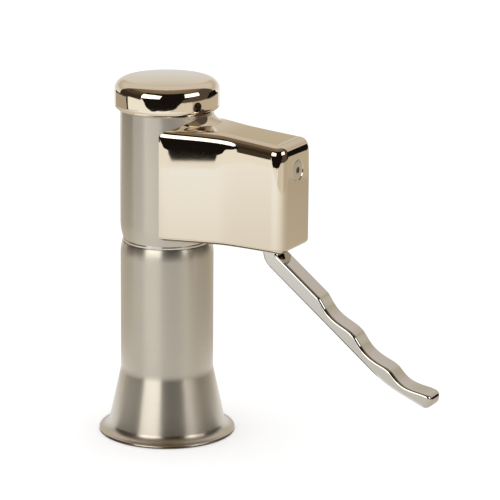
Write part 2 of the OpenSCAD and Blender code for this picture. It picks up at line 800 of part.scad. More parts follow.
module piston_valve() {
    color(silicone) translate([0, 0, piston_top + 0.02])
        tube(piston_r - seal_wire + 0.2, rod_r + 0.02, flap_t);
}

module pump_cylinder() {
    color(steel) translate([0, 0, foot_step])
        tube(cylinder_out_r, cylinder_r, chamber_top - foot_step);
}

module cylinder_foot() {
    groove_z = foot_z + 1.1;
    port_at = (seal_pocket_r + cylinder_r) / 2;
    color(acetal) difference() {
        union() {
            translate([0, 0, foot_z]) cylinder(r = cylinder_out_r, h = foot_step - foot_z);
            translate([0, 0, foot_z]) cylinder(r = cylinder_r - seat_gap, h = foot_top - foot_z);
            translate([0, 0, foot_z]) cylinder(r = rod_r + 0.9, h = foot_top + foot_lip - foot_z);
        }
        translate([0, 0, foot_z - cut]) cylinder(r = rod_hole_r, h = foot_top - foot_z + 2 * cut + 1);
        translate([0, 0, groove_z]) cylinder(r = seal_pocket_r, h = seal_wire + 0.1);
        around(6) translate([port_at, 0, foot_z - cut])
            cylinder(r = port_r, h = foot_top - foot_z + 2 * cut);
    }
}

module foot_seal() {
    color(rubber) translate([0, 0, foot_z + 1.1 + seal_wire / 2 + 0.05]) o_ring(seal_r, seal_wire - 0.02);
}

module inlet_valve() {
    color(silicone) translate([0, 0, foot_top + 0.02]) tube(cylinder_r - 0.2, rod_r + 0.95, flap_t);
}

module cylinder_head() {
    groove_z = flange_z + 0.6;
    flange_r = neck_r - 0.15;
    relief_h = flap_t + 2 * port_r + 1;   // keeps the rod's ports open at the top of the stroke
    color(steel) difference() {
        union() {
            translate([0, 0, flange_z]) cylinder(r = flange_r, h = flange_t);
            translate([0, 0, flange_z]) cylinder(r = nipple_bore_r - seat_gap * 2, h = spigot_top - flange_z);
            translate([0, 0, flange_z]) cylinder(r = gland_r + 3, h = head_top - flange_z);
        }
        translate([0, 0, flange_z - cut]) cylinder(r = rod_hole_r, h = head_top - flange_z + 2 * cut);
        translate([0, 0, flange_z - cut])
            cylinder(r = cylinder_out_r + seat_gap, h = chamber_top - flange_z + cut);
        translate([0, 0, chamber_top - cut]) cylinder(r = seal_pocket_r, h = relief_h + cut);
        translate([0, 0, gland_seal_z]) cylinder(r = seal_pocket_r, h = head_top - gland_seal_z + cut);
        translate([0, 0, gland_seal_z + 1.6])
            cylinder(r = gland_r + seat_gap, h = head_top - gland_seal_z);
        translate([0, 0, groove_z]) difference() {
            cylinder(r = neck_r + cut, h = seal_wire);
            translate([0, 0, -cut]) cylinder(r = flange_r - 1.3, h = seal_wire + 2 * cut);
        }
        translate([0, (gland_r + 3 + nipple_bore_r) / 2, flange_z - cut])
            cylinder(r = port_r, h = spigot_top - flange_z + 2 * cut);
    }
}

module neck_seal() {
    wire = 1.36;
    color(rubber) translate([0, 0, flange_z + 0.6 + seal_wire / 2]) o_ring(neck_r - wire / 2 - 0.04, wire);
}

module rod_seal() {
    color(rubber) translate([0, 0, gland_seal_z + seal_wire / 2 + 0.04]) o_ring(seal_r, seal_wire - 0.02);
}

module gland_nut() {
    color(brass) difference() {
        union() {
            translate([0, 0, gland_seal_z + 1.6]) cylinder(r = gland_r, h = head_top - gland_seal_z - 1.6);
            translate([0, 0, head_top]) cylinder(r = gland_r + 1.6, h = gland_top - head_top, $fn = 6);
        }
        translate([0, 0, gland_seal_z]) cylinder(r = rod_hole_r, h = gland_top - gland_seal_z + cut);
    }
}

// ---------- reservoir floor and nozzle ----------

module reservoir_floor() {
    spigot_h = 4;
    color(acetal) difference() {
        union() {
            translate([0, 0, floor_z]) cylinder(r = tank_r - seat_gap, h = floor_t);
            translate([0, 0, floor_z]) cylinder(r = standpipe_r, h = standpipe_top - floor_z);
        }
        translate([0, 0, floor_z - cut]) cylinder(r = rod_hole_r, h = standpipe_top - floor_z + 2 * cut);
        translate([0, 0, floor_z - cut]) cylinder(r = nozzle_spigot_r + seat_gap, h = spigot_h + cut);
        translate([0, 0, standpipe_top - seal_pocket]) cylinder(r = seal_pocket_r, h = seal_pocket + cut);
    }
}

module standpipe_seal() {
    color(rubber) translate([0, 0, standpipe_top - seal_pocket + seal_wire / 2 + 0.02])
        o_ring(seal_r, seal_wire - 0.02);
}

module outlet_nozzle() {
    hex_h = 2.5;
    spigot_h = 3.9;
    color(steel) difference() {
        union() {
            translate([0, 0, nozzle_z]) cylinder(r = nozzle_r, h = floor_z - nozzle_z);
            translate([0, 0, floor_z - hex_h])
                cylinder(r = nozzle_hex / 2 / cos(30), h = hex_h, $fn = 6);
            translate([0, 0, floor_z - hex_h]) cylinder(r = nozzle_spigot_r, h = hex_h + spigot_h);
        }
        translate([0, 0, nozzle_z - cut])
            cylinder(r = rod_hole_r, h = floor_z + spigot_h - nozzle_z + 2 * cut);
        translate([0, 0, nozzle_z - cut]) cylinder(r = nozzle_mouth_r, h = nozzle_step - nozzle_z + cut);
    }
}

// Rubber valve that opens only outwards: a flange, and two lips that meet in a slit
module duckbill_valve() {
    bill_h = 4.4;
    bill_z = nozzle_step - duck_flange - bill_h;
    lip = 2.2;
    color(silicone) difference() {
        union() {
            translate([0, 0, nozzle_step - duck_flange])
                cylinder(r = nozzle_mouth_r - seat_gap, h = duck_flange);
            hull() {
                translate([0, 0, nozzle_step - duck_flange]) cylinder(r = 2.8, h = 0.2, $fn = hull_fn);
                translate([-lip, -0.7, bill_z]) cube([2 * lip, 1.4, 0.2]);
            }
        }
        hull() {
            translate([0, 0, nozzle_step - 0.1]) cylinder(r = 2, h = cut, $fn = hull_fn);
            translate([-lip + 0.6, -0.1, bill_z - 0.1]) cube([2 * lip - 1.2, 0.2, 0.1]);
        }
    }
}

module valve_ring() {
    ring_h = 3;
    ring_bore_r = 3.1;
    color(steel) translate([0, 0, nozzle_step - duck_flange - ring_h])
        tube(nozzle_mouth_r - seat_gap, ring_bore_r, ring_h - 0.02);
}

lower_body();
reservoir_floor();
standpipe_seal();
outlet_nozzle();
duckbill_valve();
valve_ring();
seam_ring();
coupling_ring();
neck_seal();
cylinder_head();
rod_seal();
gland_nut();
pump_cylinder();
cylinder_foot();
foot_seal();
inlet_valve();
pump_rod();
piston();
piston_seal();
piston_valve();
crosshead();
rod_pin();
crosshead_pin();
crosshead_clips();
guide_disc();
guide_nut();
return_spring();
upper_barrel();
cap();
cap_set_screw();
lever_frame();
frame_screws();
lever();
pivot_bushes();
pivot_pin();
pivot_clips();
lever_housing();
housing_screw();
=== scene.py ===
"""Soap pump dispenser: a satin steel body on a bell foot, a gilt cap and lever housing, and a chromed lever.

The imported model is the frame. The outer pieces are made again here with finer curves, and the inner ones
keep their CAD meshes. Lengths in this script are millimetres unless a name says metres.
"""
import json
import math

import bmesh
import bpy
from mathutils import Matrix, Vector


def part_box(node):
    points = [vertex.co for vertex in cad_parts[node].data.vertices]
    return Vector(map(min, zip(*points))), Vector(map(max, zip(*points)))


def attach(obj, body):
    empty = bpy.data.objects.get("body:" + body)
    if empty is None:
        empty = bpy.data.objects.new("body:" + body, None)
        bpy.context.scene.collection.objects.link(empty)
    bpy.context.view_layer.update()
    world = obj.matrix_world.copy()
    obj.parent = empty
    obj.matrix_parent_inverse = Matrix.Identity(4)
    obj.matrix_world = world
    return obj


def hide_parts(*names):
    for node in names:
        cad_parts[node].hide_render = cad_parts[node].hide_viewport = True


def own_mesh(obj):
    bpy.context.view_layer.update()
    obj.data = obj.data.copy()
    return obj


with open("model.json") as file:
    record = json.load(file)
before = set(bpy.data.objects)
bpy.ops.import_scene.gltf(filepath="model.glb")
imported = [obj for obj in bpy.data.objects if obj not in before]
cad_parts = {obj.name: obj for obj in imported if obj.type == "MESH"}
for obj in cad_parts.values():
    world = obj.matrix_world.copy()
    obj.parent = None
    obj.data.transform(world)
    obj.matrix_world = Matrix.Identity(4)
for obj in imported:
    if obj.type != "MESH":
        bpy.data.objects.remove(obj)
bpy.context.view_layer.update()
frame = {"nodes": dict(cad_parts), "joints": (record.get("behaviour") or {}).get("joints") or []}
MM = 0.001

# ---------------------------------------------------------------- bell foot and lower tube
# One stainless tube, spun out to a bell with a rolled lip, threaded inside at the top. It is turned from its
# outline and satin brushed around its axis, so highlights run up and down it and fine lines run round it.


def corners(node):
    """Lowest and highest corner of a CAD node, in millimetres."""
    low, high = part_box(node)
    return low / MM, high / MM


def arc(r0, z0, r, start, end, steps=16, rise=None):
    """Points on an arc in the radius-height plane, angles in degrees; rise is its other half axis."""
    turns = [math.radians(start + (end - start) * i / steps) for i in range(steps + 1)]
    return [(r0 + r * math.cos(a), z0 + (rise or r) * math.sin(a)) for a in turns]


def draw_r(height, depth):
    """Radius of an arc that starts upright and draws in by depth over height."""
    return (height * height + depth * depth) / (2 * depth)


def linear(code):
    """A colour written as an sRGB hex value, as the linear RGBA that the shaders take."""
    parts = [int(code[i:i + 2], 16) / 255 for i in (1, 3, 5)]
    return tuple(c / 12.92 if c <= 0.04045 else ((c + 0.055) / 1.055) ** 2.4 for c in parts) + (1.0,)


def add(tree, kind, values=(), links=(), **settings):
    """Adds a node, sets its properties and sockets, and links sockets of earlier nodes to it."""
    node = tree.nodes.new(kind)
    for name, value in settings.items():
        setattr(node, name, value)
    for socket, value in dict(values).items():
        node.inputs[socket].default_value = value
    for socket, source in dict(links).items():
        tree.links.new(source, node.inputs[socket])
    return node


def new_material(name):
    """An empty material and its node tree."""
    material = bpy.data.materials.new(name)
    material.use_nodes = True
    material.node_tree.nodes.clear()
    return material, material.node_tree


def show(material, shader):
    """Puts a shader on the material's output."""
    add(material.node_tree, "ShaderNodeOutputMaterial", links={"Surface": shader.outputs[0]})
    return material


def mottled(tree, colour, pattern, low, high):
    """A colour that gets darker and lighter with a pattern, between low and high times itself."""
    tone = add(tree, "ShaderNodeMapRange", {"To Min": low, "To Max": high}, {"Value": pattern.outputs["Fac"]})
    tint = add(tree, "ShaderNodeVectorMath", {0: linear(colour)[:3]}, {1: tone.outputs["Result"]},
               operation="MULTIPLY")
    return tint.outputs["Vector"]


def new_tree(name, **inputs):
    """A Geometry Nodes tree with inputs of these kinds, a finish and one output, and its input node."""
    tree = bpy.data.node_groups.new(name, "GeometryNodeTree")
    for label, kind in {**inputs, "Finish": "Material"}.items():
        tree.interface.new_socket(label, in_out="INPUT", socket_type="NodeSocket" + kind)
    tree.interface.new_socket("Made", in_out="OUTPUT", socket_type="NodeSocketGeometry")
    return tree, add(tree, "NodeGroupInput")


def end_tree(tree, given, geometry):
    """Ends a Geometry Nodes tree: the geometry made real, with its finish on it."""
    real = add(tree, "GeometryNodeRealizeInstances", links={"Geometry": geometry})
    finish = add(tree, "GeometryNodeSetMaterial", links={
        "Geometry": real.outputs["Geometry"], "Material": given.outputs["Finish"]})
    add(tree, "NodeGroupOutput", links={"Made": finish.outputs["Geometry"]})
    return tree


def lathe_tree():
    """Geometry Nodes: an outline in the radius-height plane, turned about the Z axis."""
    tree, given = new_tree("turned_on_a_lathe", Outline="Geometry", Steps="Int", Weld="Float")
    circle = add(tree, "GeometryNodeCurvePrimitiveCircle", {"Radius": 1e-7},
                 {"Resolution": given.outputs["Steps"]})
    sweep = add(tree, "GeometryNodeCurveToMesh", links={
        "Curve": circle.outputs["Curve"], "Profile Curve": given.outputs["Outline"]})
    weld = add(tree, "GeometryNodeMergeByDistance", links={
        "Geometry": sweep.outputs["Mesh"], "Distance": given.outputs["Weld"]})
    smooth = add(tree, "GeometryNodeSetShadeSmooth", links={"Geometry": weld.outputs["Geometry"]})
    return end_tree(tree, given, smooth.outputs["Geometry"])


def run_tree(name, start, tree, **given):
    """Runs a Geometry Nodes tree on a curve or mesh and returns the result as a plain mesh object."""
    source = bpy.data.objects.new(name + "_source", start)
    bpy.context.scene.collection.objects.link(source)
    step = source.modifiers.new("make", "NODES")
    step.node_group = tree
    for socket in tree.interface.items_tree:
        if socket.in_out == "INPUT" and socket.name in given:
            step[socket.identifier] = given[socket.name]
    mesh = plain_mesh(source)
    bpy.data.objects.remove(source)
    mesh.name = name
    made = bpy.data.objects.new(name, mesh)
    bpy.context.scene.collection.objects.link(made)
    return made


def plain_mesh(source):
    """The evaluated mesh of an object, with its modifiers applied."""
    depsgraph = bpy.context.evaluated_depsgraph_get()
    return bpy.data.meshes.new_from_object(source.evaluated_get(depsgraph), depsgraph=depsgraph)


LATHE = lathe_tree()


def turned(name, outline, material, steps=160):
    """A solid turned from (radius, height) points, listed up the outside and then down the inside.
    An outline that starts and ends on the axis stays open there, and its poles are welded."""
    on_axis = outline[0][0] == 0 and outline[-1][0] == 0
    curve = bpy.data.curves.new(name, "CURVE")
    curve.dimensions = "3D"
    spline = curve.splines.new("POLY")
    spline.points.add(len(outline) - 1)
    for point, (r, z) in zip(spline.points, reversed(outline)):
        point.co = (r * MM, -z * MM, 0, 1)
    spline.use_cyclic_u = not on_axis
    return run_tree(name, curve, LATHE, Steps=steps, Weld=2e-6, Finish=material)


def cut(piece, cutter, how="DIFFERENCE"):
    """Takes the cutter's solid out of the piece, or joins it on, and removes the cutter."""
    step = piece.modifiers.new("cut", "BOOLEAN")
    step.operation = how
    step.solver = "EXACT"
    step.object = cutter
    mesh = plain_mesh(piece)
    piece.modifiers.clear()
    piece.data = mesh
    bpy.data.objects.remove(cutter)


def fit(piece, body, slot, *stands_for, crease=32):
    """Sets the piece's normals, so that faces stay flat up to their rounded edges, and mounts it on its body."""
    piece.data.shade_smooth()
    piece.data.set_sharp_from_angle(angle=math.radians(crease))
    step = piece.modifiers.new("normals", "WEIGHTED_NORMAL")
    step.keep_sharp = True
    mesh = plain_mesh(piece)
    piece.modifiers.clear()
    piece.data = mesh
    mesh.name = piece.name
    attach(piece, body)
    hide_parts(*stands_for)
    return piece


def brushed(name, colour, roughness, grain, spread):
    """Satin steel, brushed round the axis: the scratches spread a highlight up and down, never sideways.
    Real grit leaves scratches of 0.05 mm; these bands are drawn 0.5 mm high, so that they show."""
    material, tree = new_material(name)
    place = add(tree, "ShaderNodeTexCoord")
    stretch = add(tree, "ShaderNodeMapping", {"Scale": (6, 6, 1000 / grain)},
                  {"Vector": place.outputs["Object"]})
    lines = add(tree, "ShaderNodeTexNoise", {"Scale": 1.0, "Detail": 6.0, "Roughness": 0.7},
                {"Vector": stretch.outputs["Vector"]})
    cloud = add(tree, "ShaderNodeTexNoise", {"Scale": 45.0, "Detail": 2.0}, {"Vector": place.outputs["Object"]})
    haze = add(tree, "ShaderNodeMapRange", {"To Min": roughness - 0.05, "To Max": roughness + 0.05},
               {"Value": cloud.outputs["Fac"]})
    relief = add(tree, "ShaderNodeBump", {"Strength": 0.35, "Distance": 0.004 * MM},
                 {"Height": lines.outputs["Fac"]})
    around = add(tree, "ShaderNodeTangent", direction_type="RADIAL", axis="Z")
    metal = add(tree, "ShaderNodeBsdfPrincipled", {
        "Metallic": 1.0, "Anisotropic": spread, "Anisotropic Rotation": 0.25}, {
        "Base Color": mottled(tree, colour, lines, 0.90, 1.06), "Roughness": haze.outputs["Result"],
        "Normal": relief.outputs["Normal"], "Tangent": around.outputs["Tangent"]})
    return show(material, metal)


satin_steel = brushed("satin_stainless_steel", "#C9C2B6", 0.30, 0.5, 0.7)

body_high = corners("lower_body")[1]
barrel_low, barrel_high = corners("upper_barrel")
tube_r = barrel_high.x
foot_r = body_high.x
body_top = body_high.z
body_wall = 1.4
lip_r = body_wall / 2
lip_land = 0.15
foot_fillet = 3.7
flare_h = 26.9
flare_angle = 12.3
body_shoulder_h, body_shoulder_in = 5.35, 0.75
neck_r = tube_r - 3.45
neck_low = corners("cylinder_head")[0].z - 0.4

slope = math.tan(math.radians(flare_angle))
fillet_z = body_wall + foot_fillet - lip_land
tangent_z = fillet_z - foot_fillet * math.sin(math.radians(flare_angle))
fillet_r = tube_r + (flare_h - tangent_z) * slope + foot_fillet * math.cos(math.radians(flare_angle))
fillet_r = min(fillet_r, foot_r - lip_r)
under_r = foot_fillet + body_wall
land_turn = math.degrees(math.acos((under_r - lip_land) / under_r))
shoulder_r = draw_r(body_shoulder_h, body_shoulder_in)
shoulder_turn = math.degrees(math.asin(body_shoulder_h / shoulder_r))
waist_r = 14          # the bell runs into the tube over a soft bend, not a crease
waist = math.radians(flare_angle / 2)
waist_reach = waist_r * math.tan(waist)
waist_bend = arc(tube_r + waist_r, flare_h + waist_reach, waist_r, 180 + flare_angle, 180, 8)
tank_r = tube_r - body_wall
lower_body = turned("bell_body", [
    *arc(foot_r - lip_r, lip_r - lip_land, lip_r,
         -math.degrees(math.asin((lip_r - lip_land) / lip_r)), 90, 12),
    *arc(fillet_r, fillet_z, foot_fillet, 270, 180 + flare_angle, 20),
    *waist_bend,
    *arc(tube_r - shoulder_r, body_top - body_shoulder_h, shoulder_r, 0, shoulder_turn, 12),
    (neck_r, body_top), (neck_r, neck_low), (tank_r, neck_low - (tank_r - neck_r)),
    (tank_r, flare_h - body_wall * math.tan(waist)),
    *reversed(arc(fillet_r, fillet_z, under_r, 270 - land_turn, 180 + flare_angle, 20)),
], satin_steel)
fit(lower_body, "body", "satin_steel", "lower_body")

# ---------------------------------------------------------------- seam ring
# A bright turned ring that the two halves of the body close on, with a fine dark groove above and below it.
ring_low, ring_high = corners("seam_ring")
ring_r = ring_high.x
groove, groove_depth = 0.25, 0.5
ring_edge = 0.2
turned_steel = brushed("turned_stainless_steel", "#D6D2CA", 0.20, 0.25, 0.5)
seam_ring = turned("bright_seam_ring", [
    (neck_r, ring_low.z), (ring_r - groove_depth, ring_low.z), (ring_r - groove_depth, ring_low.z + groove),
    *arc(ring_r - ring_edge, ring_low.z + groove + ring_edge, ring_edge, -90, 0, 4),
    *arc(ring_r - ring_edge, ring_high.z - groove - ring_edge, ring_edge, 0, 90, 4),
    (ring_r - groove_depth, ring_high.z - groove), (ring_r - groove_depth, ring_high.z), (neck_r, ring_high.z),
], turned_steel)
fit(seam_ring, "body", "satin_steel", "seam_ring")

# ---------------------------------------------------------------- upper barrel
# The same tube stock, drawn in a little at its lower end. The lever's arm comes in through a window in its
# side, and four tapped holes take the lever frame's screws.
barrel_wall = 2.0
bore_r = tube_r - barrel_wall
barrel_shoulder_h, barrel_shoulder_in = 7.0, 1.15
throat_top = corners("coupling_ring")[1].z + 0.3
pivot = sum(corners("pivot_pin"), Vector()) / 2
rod_travel = frame["joints"][1]["range_m"][1] / MM
arm_turn = math.atan(rod_travel / 2 / pivot.x)
arm_w = 15.2
arm_half = 6.2
window_w = arm_w + 2
window_low = throat_top - 1.4
window_high = pivot.z + (pivot.x - bore_r) * math.tan(arm_turn) + arm_half / math.cos(arm_turn) + 1.6


def block(low, high):
    """A box between two corners, used as a cutter or as stock."""
    shape = bmesh.new()
    bmesh.ops.create_cube(shape, size=1)
    size = Vector(high) - Vector(low)
    middle = (Vector(high) + Vector(low)) / 2
    shape.transform(Matrix.Translation(middle * MM) @ Matrix.Diagonal((*(size * MM), 1)))
    return solid_of(shape, "block")


def solid_of(shape, name):
    """A linked object with the bmesh's faces."""
    mesh = bpy.data.meshes.new(name)
    shape.to_mesh(mesh)
    shape.free()
    made = bpy.data.objects.new(name, mesh)
    bpy.context.scene.collection.objects.link(made)
    return made


def drill(start, direction, r, length, r_end=None, sides=64):
    """A straight or tapered round cutter from a point along a direction."""
    shape = bmesh.new()
    r_end = r if r_end is None else r_end
    bmesh.ops.create_cone(shape, cap_ends=True, segments=sides, radius1=r * MM, radius2=r_end * MM,
                          depth=length * MM)
    aim = Vector(direction).normalized().to_track_quat("Z", "Y").to_matrix().to_4x4()
    shape.transform(Matrix.Translation(Vector(start) * MM) @ aim @ Matrix.Translation((0, 0, length * MM / 2)))
    return solid_of(shape, "drill")


barrel_r = draw_r(barrel_shoulder_h, barrel_shoulder_in)
barrel_turn = math.degrees(math.asin(barrel_shoulder_h / barrel_r))
barrel = turned("upper_tube", [
    *arc(tube_r - barrel_r, barrel_low.z + barrel_shoulder_h, barrel_r, -barrel_turn, 0, 14),
    (tube_r, window_high + 1), (tube_r, barrel_high.z), (bore_r, barrel_high.z),
    (bore_r, window_high + 1), (bore_r, throat_top + 1.4), (neck_r, throat_top), (neck_r, barrel_low.z),
], satin_steel)
cut(barrel, block((0, -window_w / 2, window_low), (tube_r + 2, window_w / 2, window_high)))
fit(barrel, "body", "satin_steel", "upper_barrel")

# ---------------------------------------------------------------- cap
# A gilt casting, polished to a mirror: a barely domed top, a full round edge and a tucked-in skirt. A set
# screw in a drilled hole holds it on the barrel.


def polished(name, colour, roughness):
    """Buffed plating: a near mirror, with the faint unevenness that buffing leaves 6 mm apart and a haze."""
    material, tree = new_material(name)
    place = add(tree, "ShaderNodeTexCoord")
    wave = add(tree, "ShaderNodeTexNoise", {"Scale": 160.0, "Detail": 1.0}, {"Vector": place.outputs["Object"]})
    haze = add(tree, "ShaderNodeTexNoise", {"Scale": 60.0, "Detail": 5.0}, {"Vector": place.outputs["Object"]})
    dull = add(tree, "ShaderNodeMapRange", {"To Min": roughness, "To Max": roughness + 0.02},
               {"Value": haze.outputs["Fac"]})
    relief = add(tree, "ShaderNodeBump", {"Strength": 0.15, "Distance": 0.01 * MM},
                 {"Height": wave.outputs["Fac"]})
    metal = add(tree, "ShaderNodeBsdfPrincipled", {"Metallic": 1.0, "Base Color": linear(colour)}, {
        "Roughness": dull.outputs["Result"], "Normal": relief.outputs["Normal"]})
    return show(material, metal)


pale_gold = polished("polished_pale_gold_plate", "#E0D4C2", 0.03)

cap_low, cap_high = corners("cap")
cap_r = cap_high.x
cap_edge_r = 4.7
cap_side_turn = 2.1     # the side wall is barely crowned: its slope at either end, in degrees
cap_skirt_r, cap_skirt_h = 6.0, 3.5
cap_dome = 0.3
cap_top, cap_bottom = cap_high.z, cap_low.z
cap_rim = cap_top - cap_dome
cap_bore = tube_r + 0.05
boss_r, boss_h = 8.65, 3.0
screw_turn = -26
set_screw_z = cap_bottom + 4.4
set_screw_r = 2.0
dome_r = draw_r(cap_r - cap_edge_r, cap_dome)
dome_turn = math.degrees(math.asin((cap_r - cap_edge_r) / dome_r))
lean = math.radians(cap_side_turn)
skirt_start = math.atan(cap_skirt_h / cap_skirt_r * math.tan(lean))
skirt_end = math.acos((cap_bore - cap_r + cap_skirt_r) / cap_skirt_r)
skirt_z = cap_bottom + cap_skirt_h * math.sin(skirt_end)
side_low = skirt_z - cap_skirt_h * math.sin(skirt_start)
side_high = cap_rim - cap_edge_r * (1 - math.sin(lean))
side_r = (side_high - side_low) / 2 / math.sin(lean)
side_in = cap_r - side_r * (1 - math.cos(lean))
edge_in = side_in - cap_edge_r * math.cos(lean)
boss_low = barrel_high.z - boss_h
cap = turned("domed_cap", [
    (0, boss_low), (boss_r, boss_low), (boss_r, barrel_high.z), (cap_bore, barrel_high.z),
    *arc(side_in - cap_skirt_r * math.cos(skirt_start), skirt_z, cap_skirt_r, -math.degrees(skirt_end),
         -math.degrees(skirt_start), 28, cap_skirt_h)[:-1],
    *arc(cap_r - side_r, (side_low + side_high) / 2, side_r, -cap_side_turn, cap_side_turn, 12),
    *arc(edge_in, cap_rim - cap_edge_r, cap_edge_r, cap_side_turn, 90 - dome_turn, 36)[1:],
    *arc(0, cap_top - dome_r, dome_r, 90 - dome_turn, 90, 8)[1:-1], (0, cap_top),
], pale_gold, 192)
aim = Vector((math.cos(math.radians(screw_turn)), math.sin(math.radians(screw_turn)), 0))
screw_seat = Vector((0, 0, set_screw_z))
cut(cap, drill(screw_seat + aim * bore_r, aim, set_screw_r + 0.05, cap_r - bore_r + 1))
fit(cap, "body", "polished_shell", "cap")

# ---------------------------------------------------------------- lever housing
# A thin gilt casting over the lever's pivot: it hugs the barrel, narrows and slopes towards its end face, and
# all its edges are rounded. The lever swings in a slot in its floor, one screw holds it, and its thin walls
# have a pocket for either end of the pivot pin.
house_low, house_high = corners("lever_housing")
house_end = house_high.x + 0.5
house_cut = house_low.x
house_floor = house_low.z - 0.6
end_height = 43.3
corner_r, base_r, house_wall = 5.0, 1.8, 1.1
edge_curve = ((54, 5), (4.2, 25), (3.9, 90))     # the side walls roll over into the roof: radius, last slope
# Slopes of side wall and roof at some X, in degrees: the walls are dished, and the roof is a little crowned
side_slopes = ((6.5, -2), (9, 8), (12, 14), (29, 14), (34, 1), (40, -2), (55, -3))
roof_slopes = ((20, 1.5), (34, 5.2))
plan_start, plan_start_y = 2.0, 17.97          # the side wall's plan starts inside the barrel
floor_dip, dip_start, dip_run = 0.1, 25, 34      # the floor dips a little towards the end
# The roof sweeps up to the barrel below the cap, less and less towards both ends of the sweep
fillet_rise, fillet_reach, fillet_end_reach = 3.2, 3.9, 1.5
fillet_start, fillet_stop, fillet_ease = 40, 140, 28     # degrees round the barrel, 90 is +X
fillet_root = 0.6         # how far it reaches into the barrel's place before the bore is cut
slot_w = 12.0
slot_end = 57.0
screw_z = sum(corners("housing_screw"), Vector()).z / 2
head_r = 4.1
sink_r, sink_depth = head_r + 0.8, house_wall + 1
pin_end = corners("pivot_pin")[1]
pin_reach = pin_end.y + 0.05
pocket_r = pin_end.z - pivot.z + 2


def slope_at(table, x):
    """The slope at x from a table of (x, degrees), in radians."""
    for (x0, slope0), (x1, slope1) in zip(table, table[1:]):
        if x < x1:
            return math.radians(slope0 + (slope1 - slope0) * max(0, x - x0) / (x1 - x0))
    return math.radians(table[-1][1])


def fall(table, x0, x1):
    """How far a line with these slopes falls from x0 to x1."""
    total, marks = 0, [x0, *(x for x, slope in table if x0 < x < x1), x1]
    for a, b in zip(marks, marks[1:]):
        s, t = slope_at(table, a), slope_at(table, b)
        even = abs(s - t) < 1e-9
        total += (b - a) * (math.tan(s) if even else math.log(math.cos(s) / math.cos(t)) / (t - s))
    return total


def side_y(x):
    """Half the housing's width at x."""
    return plan_start_y - fall(side_slopes, plan_start, x)


def roof_z(x):
    """The roof's height at x, level over the end's corners."""
    middle_x = house_end - corner_r
    return house_floor + end_height + (fall(roof_slopes, x, middle_x) if x < middle_x else 0)


def side_wall(end, inset):
    """The side wall's plan as (x, y), up to x = end."""
    count = round((end - plan_start) / 0.5)
    stations = [plan_start + (end - plan_start) * i / count for i in range(count + 1)]
    return [(x, side_y(x) - inset / math.cos(slope_at(side_slopes, x))) for x in stations]


def housing_ring(inset, drop, rise):
    """A level ring of the housing's wall, drawn in by inset. It lies rise over the floor, or drop below the
    sloped roof."""
    last = slope_at(side_slopes, house_end)
    middle_x = house_end - corner_r
    middle_y = side_wall(middle_x + corner_r * math.sin(last), 0)[-1][1] - corner_r * math.cos(last)
    plan = side_wall(middle_x + (corner_r - inset) * math.sin(last), inset)[:-1]
    corner_steps = 24
    for i in range(corner_steps + 1):
        turn = (math.pi / 2 - last) * (1 - i / corner_steps)
        plan.append((middle_x + (corner_r - inset) * math.cos(turn),
                     middle_y + (corner_r - inset) * math.sin(turn)))
    plan += [(x, -y) for x, y in reversed(plan)]
    if rise is None:
        return [(x, y, roof_z(x) - drop) for x, y in plan]
    return [(x, y, house_floor + rise - floor_dip * (max(0, x - dip_start) / dip_run) ** 1.5) for x, y in plan]


def roof_edge(inset):
    """The rounding between side wall and roof, as points (drawn in, climbed) from the wall up."""
    start, drawn_in, climbed, curve, steps = 0, 0, 0, [], 12
    for radius, end in edge_curve:
        for i in range(0 if start == 0 else 1, steps + 1):
            a = math.radians(start + (end - start) * i / steps)
            curve.append((drawn_in + (radius - inset) * (math.cos(math.radians(start)) - math.cos(a)),
                          climbed + (radius - inset) * (math.sin(a) - math.sin(math.radians(start)))))
        drawn_in, climbed, start = *curve[-1], end
    return curve


def housing_form(inset):
    """The closed form of the housing, inside or outside, as rings from the floor to the roof."""
    base = max(base_r - inset, 0.2)
    rings = [housing_ring(inset + r, 0, inset + z) for r, z in arc(base, base, base, 180 + 90, 180, 8)]
    edge = roof_edge(inset)
    rings += [housing_ring(inset + inward, inset + edge[-1][1] - height, None) for inward, height in edge]
    return rings


def roof_at(x, y):
    """The roof's height over a point of the plan, with its rounded edges."""
    edge, inward = roof_edge(0), side_y(x) - abs(y)
    for (in0, up0), (in1, up1) in zip(edge, edge[1:]):
        if inward < in1:
            return roof_z(x) - edge[-1][1] + up0 + (up1 - up0) * (inward - in0) / (in1 - in0)
    return roof_z(x)


def roof_fillet():
    """The sweep between roof and barrel, as sections round the barrel."""
    sections, steps = [], 18
    for azimuth in range(fillet_start, fillet_stop + 1, 2):
        share = min(1, (azimuth - fillet_start) / fillet_ease, (fillet_stop - azimuth) / fillet_ease)
        reach = fillet_end_reach + (fillet_reach - fillet_end_reach) * share
        way = Vector((math.sin(math.radians(azimuth)), -math.cos(math.radians(azimuth)), 0))
        top, under = [], []
        for out in (-fillet_root, *(reach * k / steps for k in range(steps + 1))):
            p = way * (tube_r + out)
            roof = roof_at(p.x, p.y)
            lift = fillet_rise * share * (1 - max(out, 0) / reach) ** 2
            top.append(p + Vector((0, 0, roof + lift - 0.002)))
            under.append(p + Vector((0, 0, roof - 1)))
        sections.append(top + under[::-1])
    return sections


def skin(name, rings, ribbed_top=False):
    """A closed mesh over rings of as many points each. A ribbed top joins each point to the one across."""
    shape = bmesh.new()
    loops = [[shape.verts.new(Vector(p) * MM) for p in ring] for ring in rings]
    n = len(rings[0])
    for low, high in zip(loops, loops[1:]):
        for i in range(n):
            shape.faces.new((low[i], low[(i + 1) % n], high[(i + 1) % n], high[i]))
    shape.faces.new(reversed(loops[0]))
    top = loops[-1]
    if ribbed_top:
        for i in range(n // 2 - 1):
            shape.faces.new((top[i], top[i + 1], top[n - 2 - i], top[n - 1 - i]))
    else:
        shape.faces.new(top)
    bmesh.ops.recalc_face_normals(shape, faces=shape.faces)
    return solid_of(shape, name)


